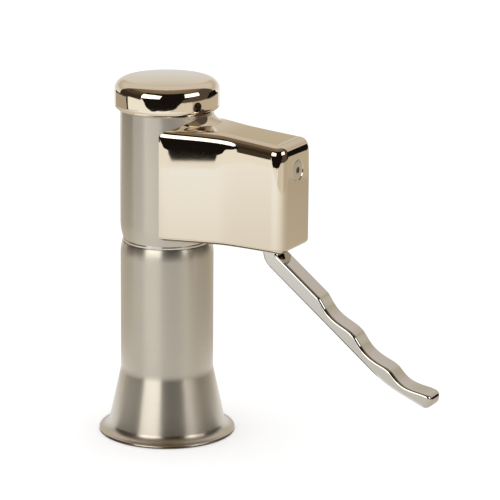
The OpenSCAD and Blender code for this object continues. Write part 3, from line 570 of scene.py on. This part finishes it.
housing = skin("lever_cover", housing_form(0), ribbed_top=True)
housing.data.materials.append(polished("polished_gold_plate", "#DACEBC", 0.02))
cut(housing, skin("fillet", roof_fillet()), "UNION")
cut(housing, skin("hollow", housing_form(house_wall), ribbed_top=True))
cut(housing, block((-tube_r, -tube_r, 0), (house_cut, tube_r, cap_high.z)))
cut(housing, drill((0, 0, house_floor - 5), (0, 0, 1), tube_r + 0.03, 70, sides=192))
cut(housing, block((0, -slot_w / 2, house_floor - 2), (slot_end, slot_w / 2, house_floor + house_wall + 1)))
cut(housing, drill((pivot.x, -pin_reach, pivot.z), (0, 1, 0), pocket_r, 2 * pin_reach))
cut(housing, drill((house_end + 0.5, 0, screw_z), (-1, 0, 0), sink_r, sink_depth, sink_r - sink_depth))
fit(housing, "body", "polished_shell", "lever_housing")

# ---------------------------------------------------------------- screws that show
# Stainless machine screws: a countersunk one with a hex socket in the housing's end face, and a set screw
# deep in the cap's side.


def socket_screw(name, at, direction, outline, socket_r, socket_depth, material):
    """A screw turned from its outline along its axis, which ends at the head's face, with a hex socket."""
    screw = turned(name, outline, material, 64)
    head = max(z for r, z in outline)
    cut(screw, drill((0, 0, head - socket_depth), (0, 0, 1), socket_r, socket_depth + 1, sides=6))
    turn = Vector(direction).to_track_quat("Z", "Y").to_matrix().to_4x4()
    screw.data.transform(Matrix.Translation(Vector(at) * MM) @ turn)
    return screw


screw_r, screw_len, screw_tip, head_cone = 2.0, 8.6, 0.3, 2.1
rim = 0.15                # the head's bevel, and how deep it lies in the end face
end_screw = socket_screw("housing_end_screw", (house_end - rim, 0, screw_z), (1, 0, 0), [
    (0, -screw_len), (screw_r - screw_tip, -screw_len), (screw_r, screw_tip - screw_len), (screw_r, -head_cone),
    (head_r - rim, -0.2), (head_r, -0.08), (head_r - rim, 0), (0, 0)], 1.55, 1.5, turned_steel)
fit(end_screw, "body", "screw_steel", "housing_screw")
set_gap, set_recess = 0.3, 1.8       # from the bore, and below the cap's side
set_length = cap_r - set_recess - bore_r - set_gap
black_steel = brushed("black_oxide_steel", "#54443C", 0.5, 0.25, 0.2)
cap_screw = socket_screw("cap_grub_screw", screw_seat + aim * (bore_r + set_gap), aim, [
    (0, 0), (set_screw_r - 0.3, 0), (set_screw_r, 0.3), (set_screw_r, set_length - 0.2),
    (set_screw_r - 0.2, set_length), (0, set_length)], 1.25, 1.6, black_steel)
fit(cap_screw, "body", "screw_steel", "cap_set_screw")

# ---------------------------------------------------------------- lever
# One chromed steel casting. Its grip comes down out of the housing, bends, and runs out with three finger
# grooves in its outer face and a rounded tip that turns up.
chrome = polished("polished_chrome", "#CECBC6", 0.03)

lever_w, lever_t, grip_t = 10.0, 6.5, 5.85
lever_edge = 1.3
bend_r = 8.4
bend_x, bend_z = pivot.x + 7.06, house_floor - 1.8
grip_angle = 38.3
grip_len = 57.8
tail_r, tail_angle, tip_len = 58.0, 16.0, 12.7
first_crest, groove_pitch, groove_count, finger_depth = 23.0, 20.8, 3, 1.75
groove_share = 0.92       # a groove's share of the pitch; its crest has the rest
hub_r = 7.2
arm_reach = pivot.x / math.cos(arm_turn)
pin_r = 3.0
pin_slot = pin_r + 0.2
fork_gap, fork_depth = 9.2, 9.6
bush_r = 5.0

neck_len = pivot.z - bend_z
bend_end = neck_len + bend_r * math.radians(90 - grip_angle)
grip_end = bend_end + grip_len
tail_end = grip_end + tail_r * math.radians(tail_angle)
lever_len = tail_end + tip_len


def heading(s):
    """The lever's direction at distance s along its inner face, in degrees below the horizontal."""
    if s < neck_len:
        return 90
    if s < bend_end:
        return 90 - math.degrees((s - neck_len) / bend_r)
    if s < grip_end:
        return grip_angle
    return max(grip_angle - math.degrees((s - grip_end) / tail_r), grip_angle - tail_angle)


def along(turn):
    """The direction in the XZ plane that points turn degrees below +X."""
    return Vector((math.cos(math.radians(turn)), 0, -math.sin(math.radians(turn))))


def outward(turn):
    """The direction square to along(turn), on the lever's outer side."""
    return Vector((math.sin(math.radians(turn)), 0, math.cos(math.radians(turn))))


bend_centre = Vector((bend_x, 0, bend_z))
bend_end_p = bend_centre - bend_r * outward(grip_angle)
grip_end_p = bend_end_p + grip_len * along(grip_angle)
tail_centre = grip_end_p + tail_r * outward(grip_angle)
tail_end_p = tail_centre - tail_r * outward(grip_angle - tail_angle)


def inner_face(s):
    """A point of the lever's inner face, in the XZ plane."""
    if s < neck_len:
        return Vector((bend_x - bend_r, 0, pivot.z - s))
    if s < bend_end:
        return bend_centre - bend_r * outward(heading(s))
    if s < grip_end:
        return bend_end_p + (s - bend_end) * along(grip_angle)
    if s < tail_end:
        return tail_centre - tail_r * outward(heading(s))
    return tail_end_p + (s - tail_end) * along(grip_angle - tail_angle)


def thickness(s):
    """The lever's thickness: each groove drops steeply after its crest and comes up slowly to the next."""
    u = (s - bend_end - first_crest) / groove_pitch
    plain = max(grip_t, lever_t - max(u, 0) * (lever_t - grip_t))
    if u <= 0 or u >= groove_count:
        return plain
    share = (u - math.floor(u)) / groove_share
    return plain - (finger_depth * math.sin(math.pi * share ** 0.9) ** 1.5 if share < 1 else 0)


def lever_section(s, shrink):
    """The rounded rectangle across the lever at distance s, drawn in at the rounded tip."""
    t = thickness(s)
    half_t = t / 2 * shrink
    half_w = lever_w / 2 - (1 - shrink) * t / 2
    r = min(lever_edge, half_t * 0.9)
    start, out = inner_face(s), outward(heading(s))
    ring = []
    for corner in range(4):
        side = 1 if corner in (0, 3) else -1
        face = 1 if corner < 2 else -1
        for i in range(9):
            a = math.radians(corner * 90 + i * 11.25)
            across = side * (half_w - r) + r * math.cos(a)
            depth = t / 2 + face * (half_t - r) + r * math.sin(a)
            ring.append(start + out * depth + Vector((0, across, 0)))
    return ring


section_step = 0.45
tip_r = thickness(lever_len) / 2
sweep_start = hub_r * 0.5
sweep_len = lever_len - tip_r - sweep_start
count = round(sweep_len / section_step)
sections = [lever_section(sweep_start + sweep_len * i / count, 1) for i in range(count + 1)]
for i in range(1, 15):
    a = math.radians(90 * i / 15)
    sections.append(lever_section(lever_len - tip_r + tip_r * math.sin(a), math.cos(a)))
lever = skin("grip_lever", sections)
lever.data.materials.append(chrome)


def along_y(r, y0, y1, at=pivot):
    """A round bar or cutter that lies along Y through a point."""
    return drill((at.x, y0, at.z), (0, 1, 0), r, y1 - y0)


def arm_block(x0, x1, half_y, half_z):
    """A box in the arm's own directions, from the pivot."""
    part = block((x0, -half_y, -half_z), (x1, half_y, half_z))
    part.data.transform(Matrix.Translation(pivot * MM) @ Matrix.Rotation(-arm_turn, 4, "Y"))
    return part


arm = arm_block(-arm_reach - pin_r - 1, 0, arm_w / 2, arm_half)
cut(arm, arm_block(-arm_reach - tube_r, -arm_reach + fork_depth, fork_gap / 2, arm_half + 1))
cut(arm, arm_block(-arm_reach - tube_r, -pivot.x, arm_w / 2 + 1, pin_slot))
slot_end_at = pivot + Matrix.Rotation(-arm_turn, 3, "Y") @ Vector((-pivot.x, 0, 0))
cut(arm, along_y(pin_slot, -arm_w, arm_w, slot_end_at))
cut(arm, along_y(hub_r, -arm_w / 2, arm_w / 2), "UNION")
cut(lever, arm, "UNION")
cut(lever, along_y(bush_r, -arm_w, arm_w))
fit(lever, "lever", "lever_chrome", "lever", crease=40)

# ---------------------------------------------------------------- lever frame and its screws
# A cast aluminium saddle with two cheeks for the pivot pin, held on the barrel by four countersunk screws
# whose sockets are sunk in the saddle. The pin turns in bronze bushes and is kept by two snap rings.


def cast(name, colour, roughness, grain, metallic=1.0, **more):
    """A surface as the mould leaves it, with a fine pebble that is grain millimetres wide."""
    material, tree = new_material(name)
    place = add(tree, "ShaderNodeTexCoord")
    pebble = add(tree, "ShaderNodeTexNoise", {"Scale": 1000 / grain, "Detail": 3.0},
                 {"Vector": place.outputs["Object"]})
    relief = add(tree, "ShaderNodeBump", {"Strength": 0.4, "Distance": 0.02 * MM},
                 {"Height": pebble.outputs["Fac"]})
    surface = add(tree, "ShaderNodeBsdfPrincipled", {"Metallic": metallic, "Roughness": roughness, **more}, {
        "Base Color": mottled(tree, colour, pebble, 0.9, 1.08), "Normal": relief.outputs["Normal"]})
    return show(material, surface)


def dress(material, *nodes):
    """Gives carried-over CAD nodes their finish."""
    for node in nodes:
        slots = frame["nodes"][node].data.materials
        slots.clear()
        slots.append(material)


machined_steel = brushed("machined_stainless_steel", "#C6C4C0", 0.28, 0.3, 0.4)
dress(cast("cast_aluminium", "#C3C5C7", 0.45, 0.4), "lever_frame")
dress(cast("sintered_bronze", "#C39A62", 0.42, 0.3), "pivot_bushes", "gland_nut")
dress(machined_steel, "pivot_pin", "pivot_clips")

frame_screw_turn = 42
frame_screw_r, frame_head_r, frame_head_h = 1.45, 2.75, 1.35
saddle_low, saddle_high = corners("frame_screws")
saddle_r = math.hypot(saddle_high.x - frame_head_r * math.sin(math.radians(frame_screw_turn)),
                      saddle_high.y - frame_head_r * math.cos(math.radians(frame_screw_turn)))
frame_screw_low = saddle_low.z + frame_head_r
frame_screw_high = saddle_high.z - frame_head_r


def screw_tree():
    """Geometry Nodes: one screw's mesh, set on every point of a mesh and turned to the point's normal."""
    tree, given = new_tree("screws_on_points", Places="Geometry", Screw="Object")
    one = add(tree, "GeometryNodeObjectInfo", {"As Instance": True}, {"Object": given.outputs["Screw"]})
    way = add(tree, "GeometryNodeInputNamedAttribute", {"Name": "way"}, data_type="FLOAT_VECTOR")
    turn = add(tree, "FunctionNodeAlignRotationToVector", {}, {"Vector": way.outputs["Attribute"]}, axis="Z")
    placed = add(tree, "GeometryNodeInstanceOnPoints", links={
        "Points": given.outputs["Places"], "Instance": one.outputs["Geometry"],
        "Rotation": turn.outputs["Rotation"]})
    return end_tree(tree, given, placed.outputs["Instances"])


one_screw = socket_screw("one_frame_screw", (0, 0, 0), (0, 0, 1), [
    (0, bore_r + 0.1 - saddle_r), (frame_screw_r - 0.2, bore_r + 0.1 - saddle_r),
    (frame_screw_r, bore_r + 0.3 - saddle_r), (frame_screw_r, -frame_head_h), (frame_head_r, -0.12),
    (frame_head_r, 0), (0, 0)], 1.33, 0.9, turned_steel)
ways = [Vector((math.cos(a), math.sin(a), 0))
        for a in (math.radians(frame_screw_turn), math.radians(-frame_screw_turn))]
places = bpy.data.meshes.new("frame_screw_places")
places.from_pydata([(way * saddle_r + Vector((0, 0, z))) * MM for way in ways
                    for z in (frame_screw_low, frame_screw_high)], [], [])
for i, point in enumerate(places.attributes.new("way", "FLOAT_VECTOR", "POINT").data):
    point.vector = ways[i // 2]
frame_screws = run_tree("saddle_screws", places, screw_tree(), Screw=one_screw, Finish=turned_steel)
bpy.data.objects.remove(one_screw)
fit(frame_screws, "body", "screw_steel", "frame_screws")

# ---------------------------------------------------------------- return spring
# Stainless spring wire with its end turns closed. It stands on the guide disc, presses on the cap's boss, and is
# squeezed as the rod comes up; here it is built at one length only.
spring_low, spring_high = corners("return_spring")
wire = 1.5
spring_turns, closed_turns = 6, 1


def spring_tree():
    """Geometry Nodes: round wire along a helix whose end turns lie close together."""
    tree, given = new_tree("closed_end_spring", Turns="Float", Radius="Float", Wire="Float", Low="Float",
                           High="Float", Steps="Int")

    def sum_of(operation, *values):
        node = add(tree, "ShaderNodeMath", operation=operation)
        for socket, value in zip(node.inputs, values):
            if isinstance(value, (int, float)):
                socket.default_value = value
            else:
                tree.links.new(value, socket)
        return node.outputs[0]

    line = add(tree, "GeometryNodeMeshLine", links={"Count": given.outputs["Steps"]})
    path = add(tree, "GeometryNodeMeshToCurve", links={"Mesh": line.outputs["Mesh"]})
    index = add(tree, "GeometryNodeInputIndex")
    along_wire = sum_of("DIVIDE", index.outputs[0], sum_of("SUBTRACT", given.outputs["Steps"], 1))
    turn = sum_of("MULTIPLY", along_wire, given.outputs["Turns"])
    angle = sum_of("MULTIPLY", turn, math.tau)
    pitch = sum_of("MULTIPLY", given.outputs["Wire"], 2)
    free_turns = sum_of("SUBTRACT", given.outputs["Turns"], 2 * closed_turns)
    free_rise = sum_of("SUBTRACT", sum_of("SUBTRACT", given.outputs["High"], given.outputs["Low"]),
                       sum_of("MULTIPLY", pitch, 2 * closed_turns))
    first = sum_of("MULTIPLY", sum_of("MINIMUM", turn, closed_turns), pitch)
    free_turn = sum_of("MINIMUM", sum_of("MAXIMUM", sum_of("SUBTRACT", turn, closed_turns), 0), free_turns)
    middle = sum_of("MULTIPLY", sum_of("DIVIDE", free_turn, free_turns), free_rise)
    last_turn = sum_of("MAXIMUM", sum_of("SUBTRACT", turn, sum_of("ADD", free_turns, closed_turns)), 0)
    last = sum_of("MULTIPLY", last_turn, pitch)
    height = sum_of("ADD", given.outputs["Low"], sum_of("ADD", first, sum_of("ADD", middle, last)))
    at = add(tree, "ShaderNodeCombineXYZ", links={
        "X": sum_of("MULTIPLY", given.outputs["Radius"], sum_of("COSINE", angle)),
        "Y": sum_of("MULTIPLY", given.outputs["Radius"], sum_of("SINE", angle)), "Z": height})
    helix = add(tree, "GeometryNodeSetPosition", links={"Geometry": path.outputs["Curve"],
                                                        "Position": at.outputs["Vector"]})
    across = add(tree, "GeometryNodeCurvePrimitiveCircle", {"Resolution": 12},
                 {"Radius": given.outputs["Wire"]})
    sweep = add(tree, "GeometryNodeCurveToMesh", {"Fill Caps": True}, {
        "Curve": helix.outputs["Geometry"], "Profile Curve": across.outputs["Curve"]})
    return end_tree(tree, given, sweep.outputs["Mesh"])


spring_wire = cast("drawn_spring_wire", "#B9B7B4", 0.3, 0.3)
spring = run_tree("coil_spring", bpy.data.meshes.new("empty"), spring_tree(),
                  Turns=float(spring_turns), Steps=28 * spring_turns + 1, Finish=spring_wire,
                  Radius=(spring_high.x - wire / 2) * MM, Wire=wire / 2 * MM,
                  Low=(spring_low.z + wire / 2) * MM, High=(spring_high.z - wire / 2) * MM)
fit(spring, "body", "spring_steel", "return_spring", crease=50)
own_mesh(spring)

# ---------------------------------------------------------------- pump inside the body
# Turned steel cylinder, rod and crosshead, black acetal where parts slide or stand in soap, rubber seals, and
# silicone flap and duckbill valves. The nozzle and its duckbill show from below, inside the bell.
dress(machined_steel, "coupling_ring", "cylinder_head", "pump_cylinder", "pump_rod", "crosshead", "rod_pin",
      "crosshead_pin", "crosshead_clips", "guide_nut", "outlet_nozzle", "valve_ring")
dress(cast("machined_black_acetal", "#26262A", 0.38, 0.5, 0.0), "reservoir_floor", "cylinder_foot", "piston",
      "guide_disc")
dress(cast("moulded_nitrile_rubber", "#1C1C1C", 0.6, 0.3, 0.0), "standpipe_seal", "neck_seal", "rod_seal",
      "foot_seal", "piston_seal")
dress(cast("translucent_silicone", "#E3E3DC", 0.4, 0.6, 0.0, **{"Subsurface Weight": 0.3,
      "Subsurface Scale": 0.002}), "duckbill_valve", "piston_valve", "inlet_valve")

# ---------------------------------------------------------------- studio
# Not part of the object: a white table that keeps the shadow, even light from all round, and the room that the
# polished metal mirrors. The room's pieces are seen in reflections alone, and light nothing.
floor_mesh = bmesh.new()
bmesh.ops.create_grid(floor_mesh, x_segments=1, y_segments=1, size=3)
floor = solid_of(floor_mesh, "studio_floor")
floor.location.z = -0.0002
white_floor, tree = new_material("white_floor")
paper = add(tree, "ShaderNodeBsdfDiffuse", {"Color": (0.9, 0.9, 0.9, 1)})
lift = add(tree, "ShaderNodeEmission", {"Color": (1, 1, 1, 1), "Strength": 0.22})
both = add(tree, "ShaderNodeAddShader", links={0: paper.outputs[0], 1: lift.outputs[0]})
floor.data.materials.append(show(white_floor, both))

world = bpy.data.worlds.new("studio")
bpy.context.scene.world = world
world.use_nodes = True
tree = world.node_tree
tree.nodes.clear()
sky = add(tree, "ShaderNodeBackground", {"Color": (1, 1, 1, 1), "Strength": 1.0})
add(tree, "ShaderNodeOutputWorld", links={"Surface": sky.outputs[0]})

EYE = Vector((0, 0, 110))     # the room is laid out as seen from the middle of cap and housing


def toward(azimuth, elevation):
    """A direction: azimuth 0 is -Y, 90 is +X, in degrees."""
    a, e = math.radians(azimuth), math.radians(elevation)
    return Vector((math.sin(a) * math.cos(e), -math.cos(a) * math.cos(e), math.sin(e)))


def mirrored(name, points, columns, material):
    """A piece of the room, as a grid of points, that only reflections see."""
    shape = bmesh.new()
    grid = [shape.verts.new(p * MM) for p in points]
    for i in range(len(grid) - columns):
        if (i + 1) % columns:
            shape.faces.new((grid[i], grid[i + 1], grid[i + columns + 1], grid[i + columns]))
    piece = solid_of(shape, name)
    piece.data.materials.append(material)
    piece.visible_camera = piece.visible_diffuse = piece.visible_shadow = piece.visible_transmission = False
    return piece


def wall(name, azimuths, elevations, reach, material):
    """A wall of the room between two azimuths and two elevations, reach away from EYE."""
    columns, rows = 33, 17
    points = []
    for j in range(rows):
        for i in range(columns):
            a = azimuths[0] + (azimuths[1] - azimuths[0]) * i / (columns - 1)
            e = elevations[0] + (elevations[1] - elevations[0]) * j / (rows - 1)
            points.append(EYE + toward(a, e) * reach)
    return mirrored(name, points, columns, material)


def screen(name, rows, material):
    """A bent sheet of the room. Each of its rows has the azimuth, the distance from the axis and the height of
    its first and of its last point."""
    columns = 25
    points = []
    for row in rows:
        first, last = Vector(row[:3]), Vector(row[3:])
        for i in range(columns):
            azimuth, distance, height = first.lerp(last, i / (columns - 1))
            points.append(toward(azimuth, 0) * distance + Vector((0, 0, height)))
    return mirrored(name, points, columns, material)


def rug(name, height, rows, material):
    """A flat piece of the room. Each of its rows has the azimuth and the distance of its two ends."""
    return screen(name, [(a, r, height, b, t, height) for a, r, b, t in rows], material)


def shade(name, colour, strength=1.0):
    """Plain light of one colour."""
    material, tree = new_material(name)
    glow = add(tree, "ShaderNodeEmission", {"Color": linear(colour), "Strength": strength})
    return show(material, glow)


def graded(name, stops, low, high):
    """Light whose colour changes with elevation, from low to high degrees, as seen from EYE."""
    material, tree = new_material(name)
    place = add(tree, "ShaderNodeTexCoord")
    seen_from = add(tree, "ShaderNodeVectorMath", {1: EYE * MM}, {0: place.outputs["Object"]},
                    operation="SUBTRACT")
    way = add(tree, "ShaderNodeVectorMath", {}, {0: seen_from.outputs["Vector"]}, operation="NORMALIZE")
    parts = add(tree, "ShaderNodeSeparateXYZ", {}, {"Vector": way.outputs["Vector"]})
    height = add(tree, "ShaderNodeMath", {}, {0: parts.outputs["Z"]}, operation="ARCSINE")
    share = add(tree, "ShaderNodeMapRange", {"From Min": math.radians(low), "From Max": math.radians(high)},
                {"Value": height.outputs[0]})
    ramp = add(tree, "ShaderNodeValToRGB", {}, {"Fac": share.outputs["Result"]})
    for i, (at, colour) in enumerate(stops):
        stop = ramp.color_ramp.elements[i] if i < 2 else ramp.color_ramp.elements.new(1)
        stop.position, stop.color = at, linear(colour)
    glow = add(tree, "ShaderNodeEmission", {"Strength": 1.0}, {"Color": ramp.outputs["Color"]})
    return show(material, glow)


# Walls and windows, the floor beyond the table's edge, and somebody seated in front of it. Each is a glowing
# sheet that paints a reflection, with the room's light and shade painted into its colour
room_dark = shade("room_dark", "#1A1613")
room_left = graded("room_left", [(0, "#3A3026"), (0.5, "#3E342A"), (0.75, "#584B3E"), (1, "#584B3E")], -14, 46)
room_right = shade("room_right", "#5C5048")
room_ceiling = graded("room_ceiling", [(0, "#786A56"), (1, "#A08F78")], 45, 90)
room_back = graded("room_back", [(0, "#FAFAFA"), (0.09, "#E8EBF0"), (0.16, "#E4DED4"), (0.21, "#CEC4AB"),
                                 (0.35, "#E7DED8"), (1, "#E7DED8")], 0, 90)
window_white = shade("window_white", "#FFFDF8", 2.6)

wall("backdrop", (150, 270), (-14, 90), 2400, room_back)
wall("backdrop_left", (-115, -90), (-14, 90), 2400, room_back)
wall("room_left", (-92, -28), (-14, 46), 2500, room_left)
wall("room_front", (-28, 75), (-14, 50), 2450, room_dark)
wall("room_right", (75, 150), (-14, 46), 2500, room_right)
wall("room_top", (-92, 150), (46, 84), 2500, room_ceiling)
wall("lamp_rail", (-92, 150), (84, 90), 2500, shade("lamp_rail", "#6A5C4F"))
screen("left_window", [(-26.5, 2000, 135, 14, 2000, 135), (-28, 2000, 1900, 18.6, 2000, 1220)], window_white)
screen("right_window", [(68.5, 2000, 380, 103.6, 2000, 535), (72.8, 2000, 1900, 110.2, 2000, 1517)], window_white)
rug("table_edge", 0.15, [(-115, 500, -34, 500), (-115, 512, -34, 512)], room_dark)
# One carpet in lit and shaded copies, with painted light and shade: brightest in front, darker to the left and
# towards the back
rug("carpet_left", 0.08, [(-115, 510, -62, 510), (-115, 870, -62, 870)], shade("shaded_carpet", "#BCB2A2"))
rug("carpet_front", 0.08, [(-62, 490, 30, 490), (-62, 1100, 10, 640)], shade("sunlit_carpet", "#F4F4F0", 1.25))
rug("carpet_right", 0.08, [(30, 490, 85, 490), (60, 800, 85, 800)], shade("beige_carpet", "#F0EADC"))
rug("carpet_back", 0.08, [(85, 490, 172, 490), (85, 800, 172, 800)], shade("far_carpet", "#D2C8B5"))
rug("room_floor", 0.05, [(-115, 600, -28, 600), (-115, 2600, -28, 2600)], shade("brown_floor", "#4A3F33"))
rug("room_floor_right", 0.05, [(28, 600, 150, 600), (70, 2600, 150, 2600)], room_right)
rug("figure_knee", 0.2, [(33, 545, 38, 545), (26, 560, 44, 565), (12, 600, 49, 605)], room_dark)
screen("seated_figure", [(-0.2, 516, 0.2, 2.4, 516, 0.2), (-1.6, 520, 0.2, 4.4, 522, 0.2),
                         (-5, 531, 0.2, 10, 540, 0.2), (-10, 570, 0.2, 49, 600, 0.2),
                         (-16, 642, 0.2, 53, 680, 0.2), (-20, 803, 0.2, 60, 803, 0.2),
                         (-26, 1050, 0.2, 66, 1050, 0.2), (-29, 1500, 0.2, 76, 1500, 0.2),
                         (-29, 2400, 130, 70, 2400, 130)], room_dark)
rug("chair_leg", 0.2, [(-65, 512, -61, 512), (-68, 850, -63, 850)], room_dark)
# A dark sheet behind on the right, a painted dark patch in the reflections
screen("dark_case", [(125, 780, 0.3, 172, 780, 0.3), (129, 2000, 0.3, 160, 2000, 0.3),
                     (132, 2000, 420, 156, 2000, 560)], room_dark)
rug("shaded_table", 0.1, [(-60, 20, 120, 20), (-60, 62, 120, 62)], shade("shaded_cloth", "#5C5044"))

# The white table cloth, cooler and brighter on the window's side, as the metal mirrors it
cloth, tree = new_material("white_cloth")
place = add(tree, "ShaderNodeTexCoord")
lit = add(tree, "ShaderNodeVectorMath", {1: toward(5, 0)}, {0: place.outputs["Object"]}, operation="DOT_PRODUCT")
share = add(tree, "ShaderNodeMapRange", {"From Min": -0.5, "From Max": 0.5}, {"Value": lit.outputs["Value"]})
tone = add(tree, "ShaderNodeValToRGB", {}, {"Fac": share.outputs["Result"]})
tone.color_ramp.elements[0].color = linear("#A89F8C")
tone.color_ramp.elements[1].color = linear("#F4FAFF")
tone.color_ramp.elements.new(0.5).color = linear("#C4BEB3")
tone.color_ramp.elements.new(0.9).color = linear("#F0F2F2")
glow = add(tree, "ShaderNodeEmission", {"Strength": 1.32}, {"Color": tone.outputs["Color"]})
rug("mirrored_cloth", 0.1, [(-180, 110, 180, 110), (-180, 500, 180, 500)], show(cloth, glow))

# The camera stands 1.15 m off, 15 degrees up and 30 degrees round to the lever's side, and looks past the
# body towards the lever.
distance, azimuth, elevation, yaw = 1150.0, math.radians(30), math.radians(15.2), math.radians(1.6915)
look_height, lens = 76.35, 202.1
back = Vector((math.sin(azimuth) * math.cos(elevation), -math.cos(azimuth) * math.cos(elevation),
               math.sin(elevation)))
right = Vector((math.cos(azimuth), math.sin(azimuth), 0))
up = right.cross(-back)
aim_at = (-back * math.cos(yaw) + right * math.sin(yaw)).normalized()
sideways = aim_at.cross(up)
camera = bpy.data.objects.new("camera", bpy.data.cameras.new("camera"))
bpy.context.scene.collection.objects.link(camera)
camera.data.sensor_width = 36
camera.data.lens = lens
camera.matrix_world = Matrix.Translation((Vector((0, 0, look_height)) + back * distance) * MM) @ Matrix(
    (sideways, up, -aim_at)).transposed().to_4x4()
camera.data.clip_start = 0.05
bpy.context.scene.camera = camera

bpy.context.scene.view_settings.view_transform = "Standard"
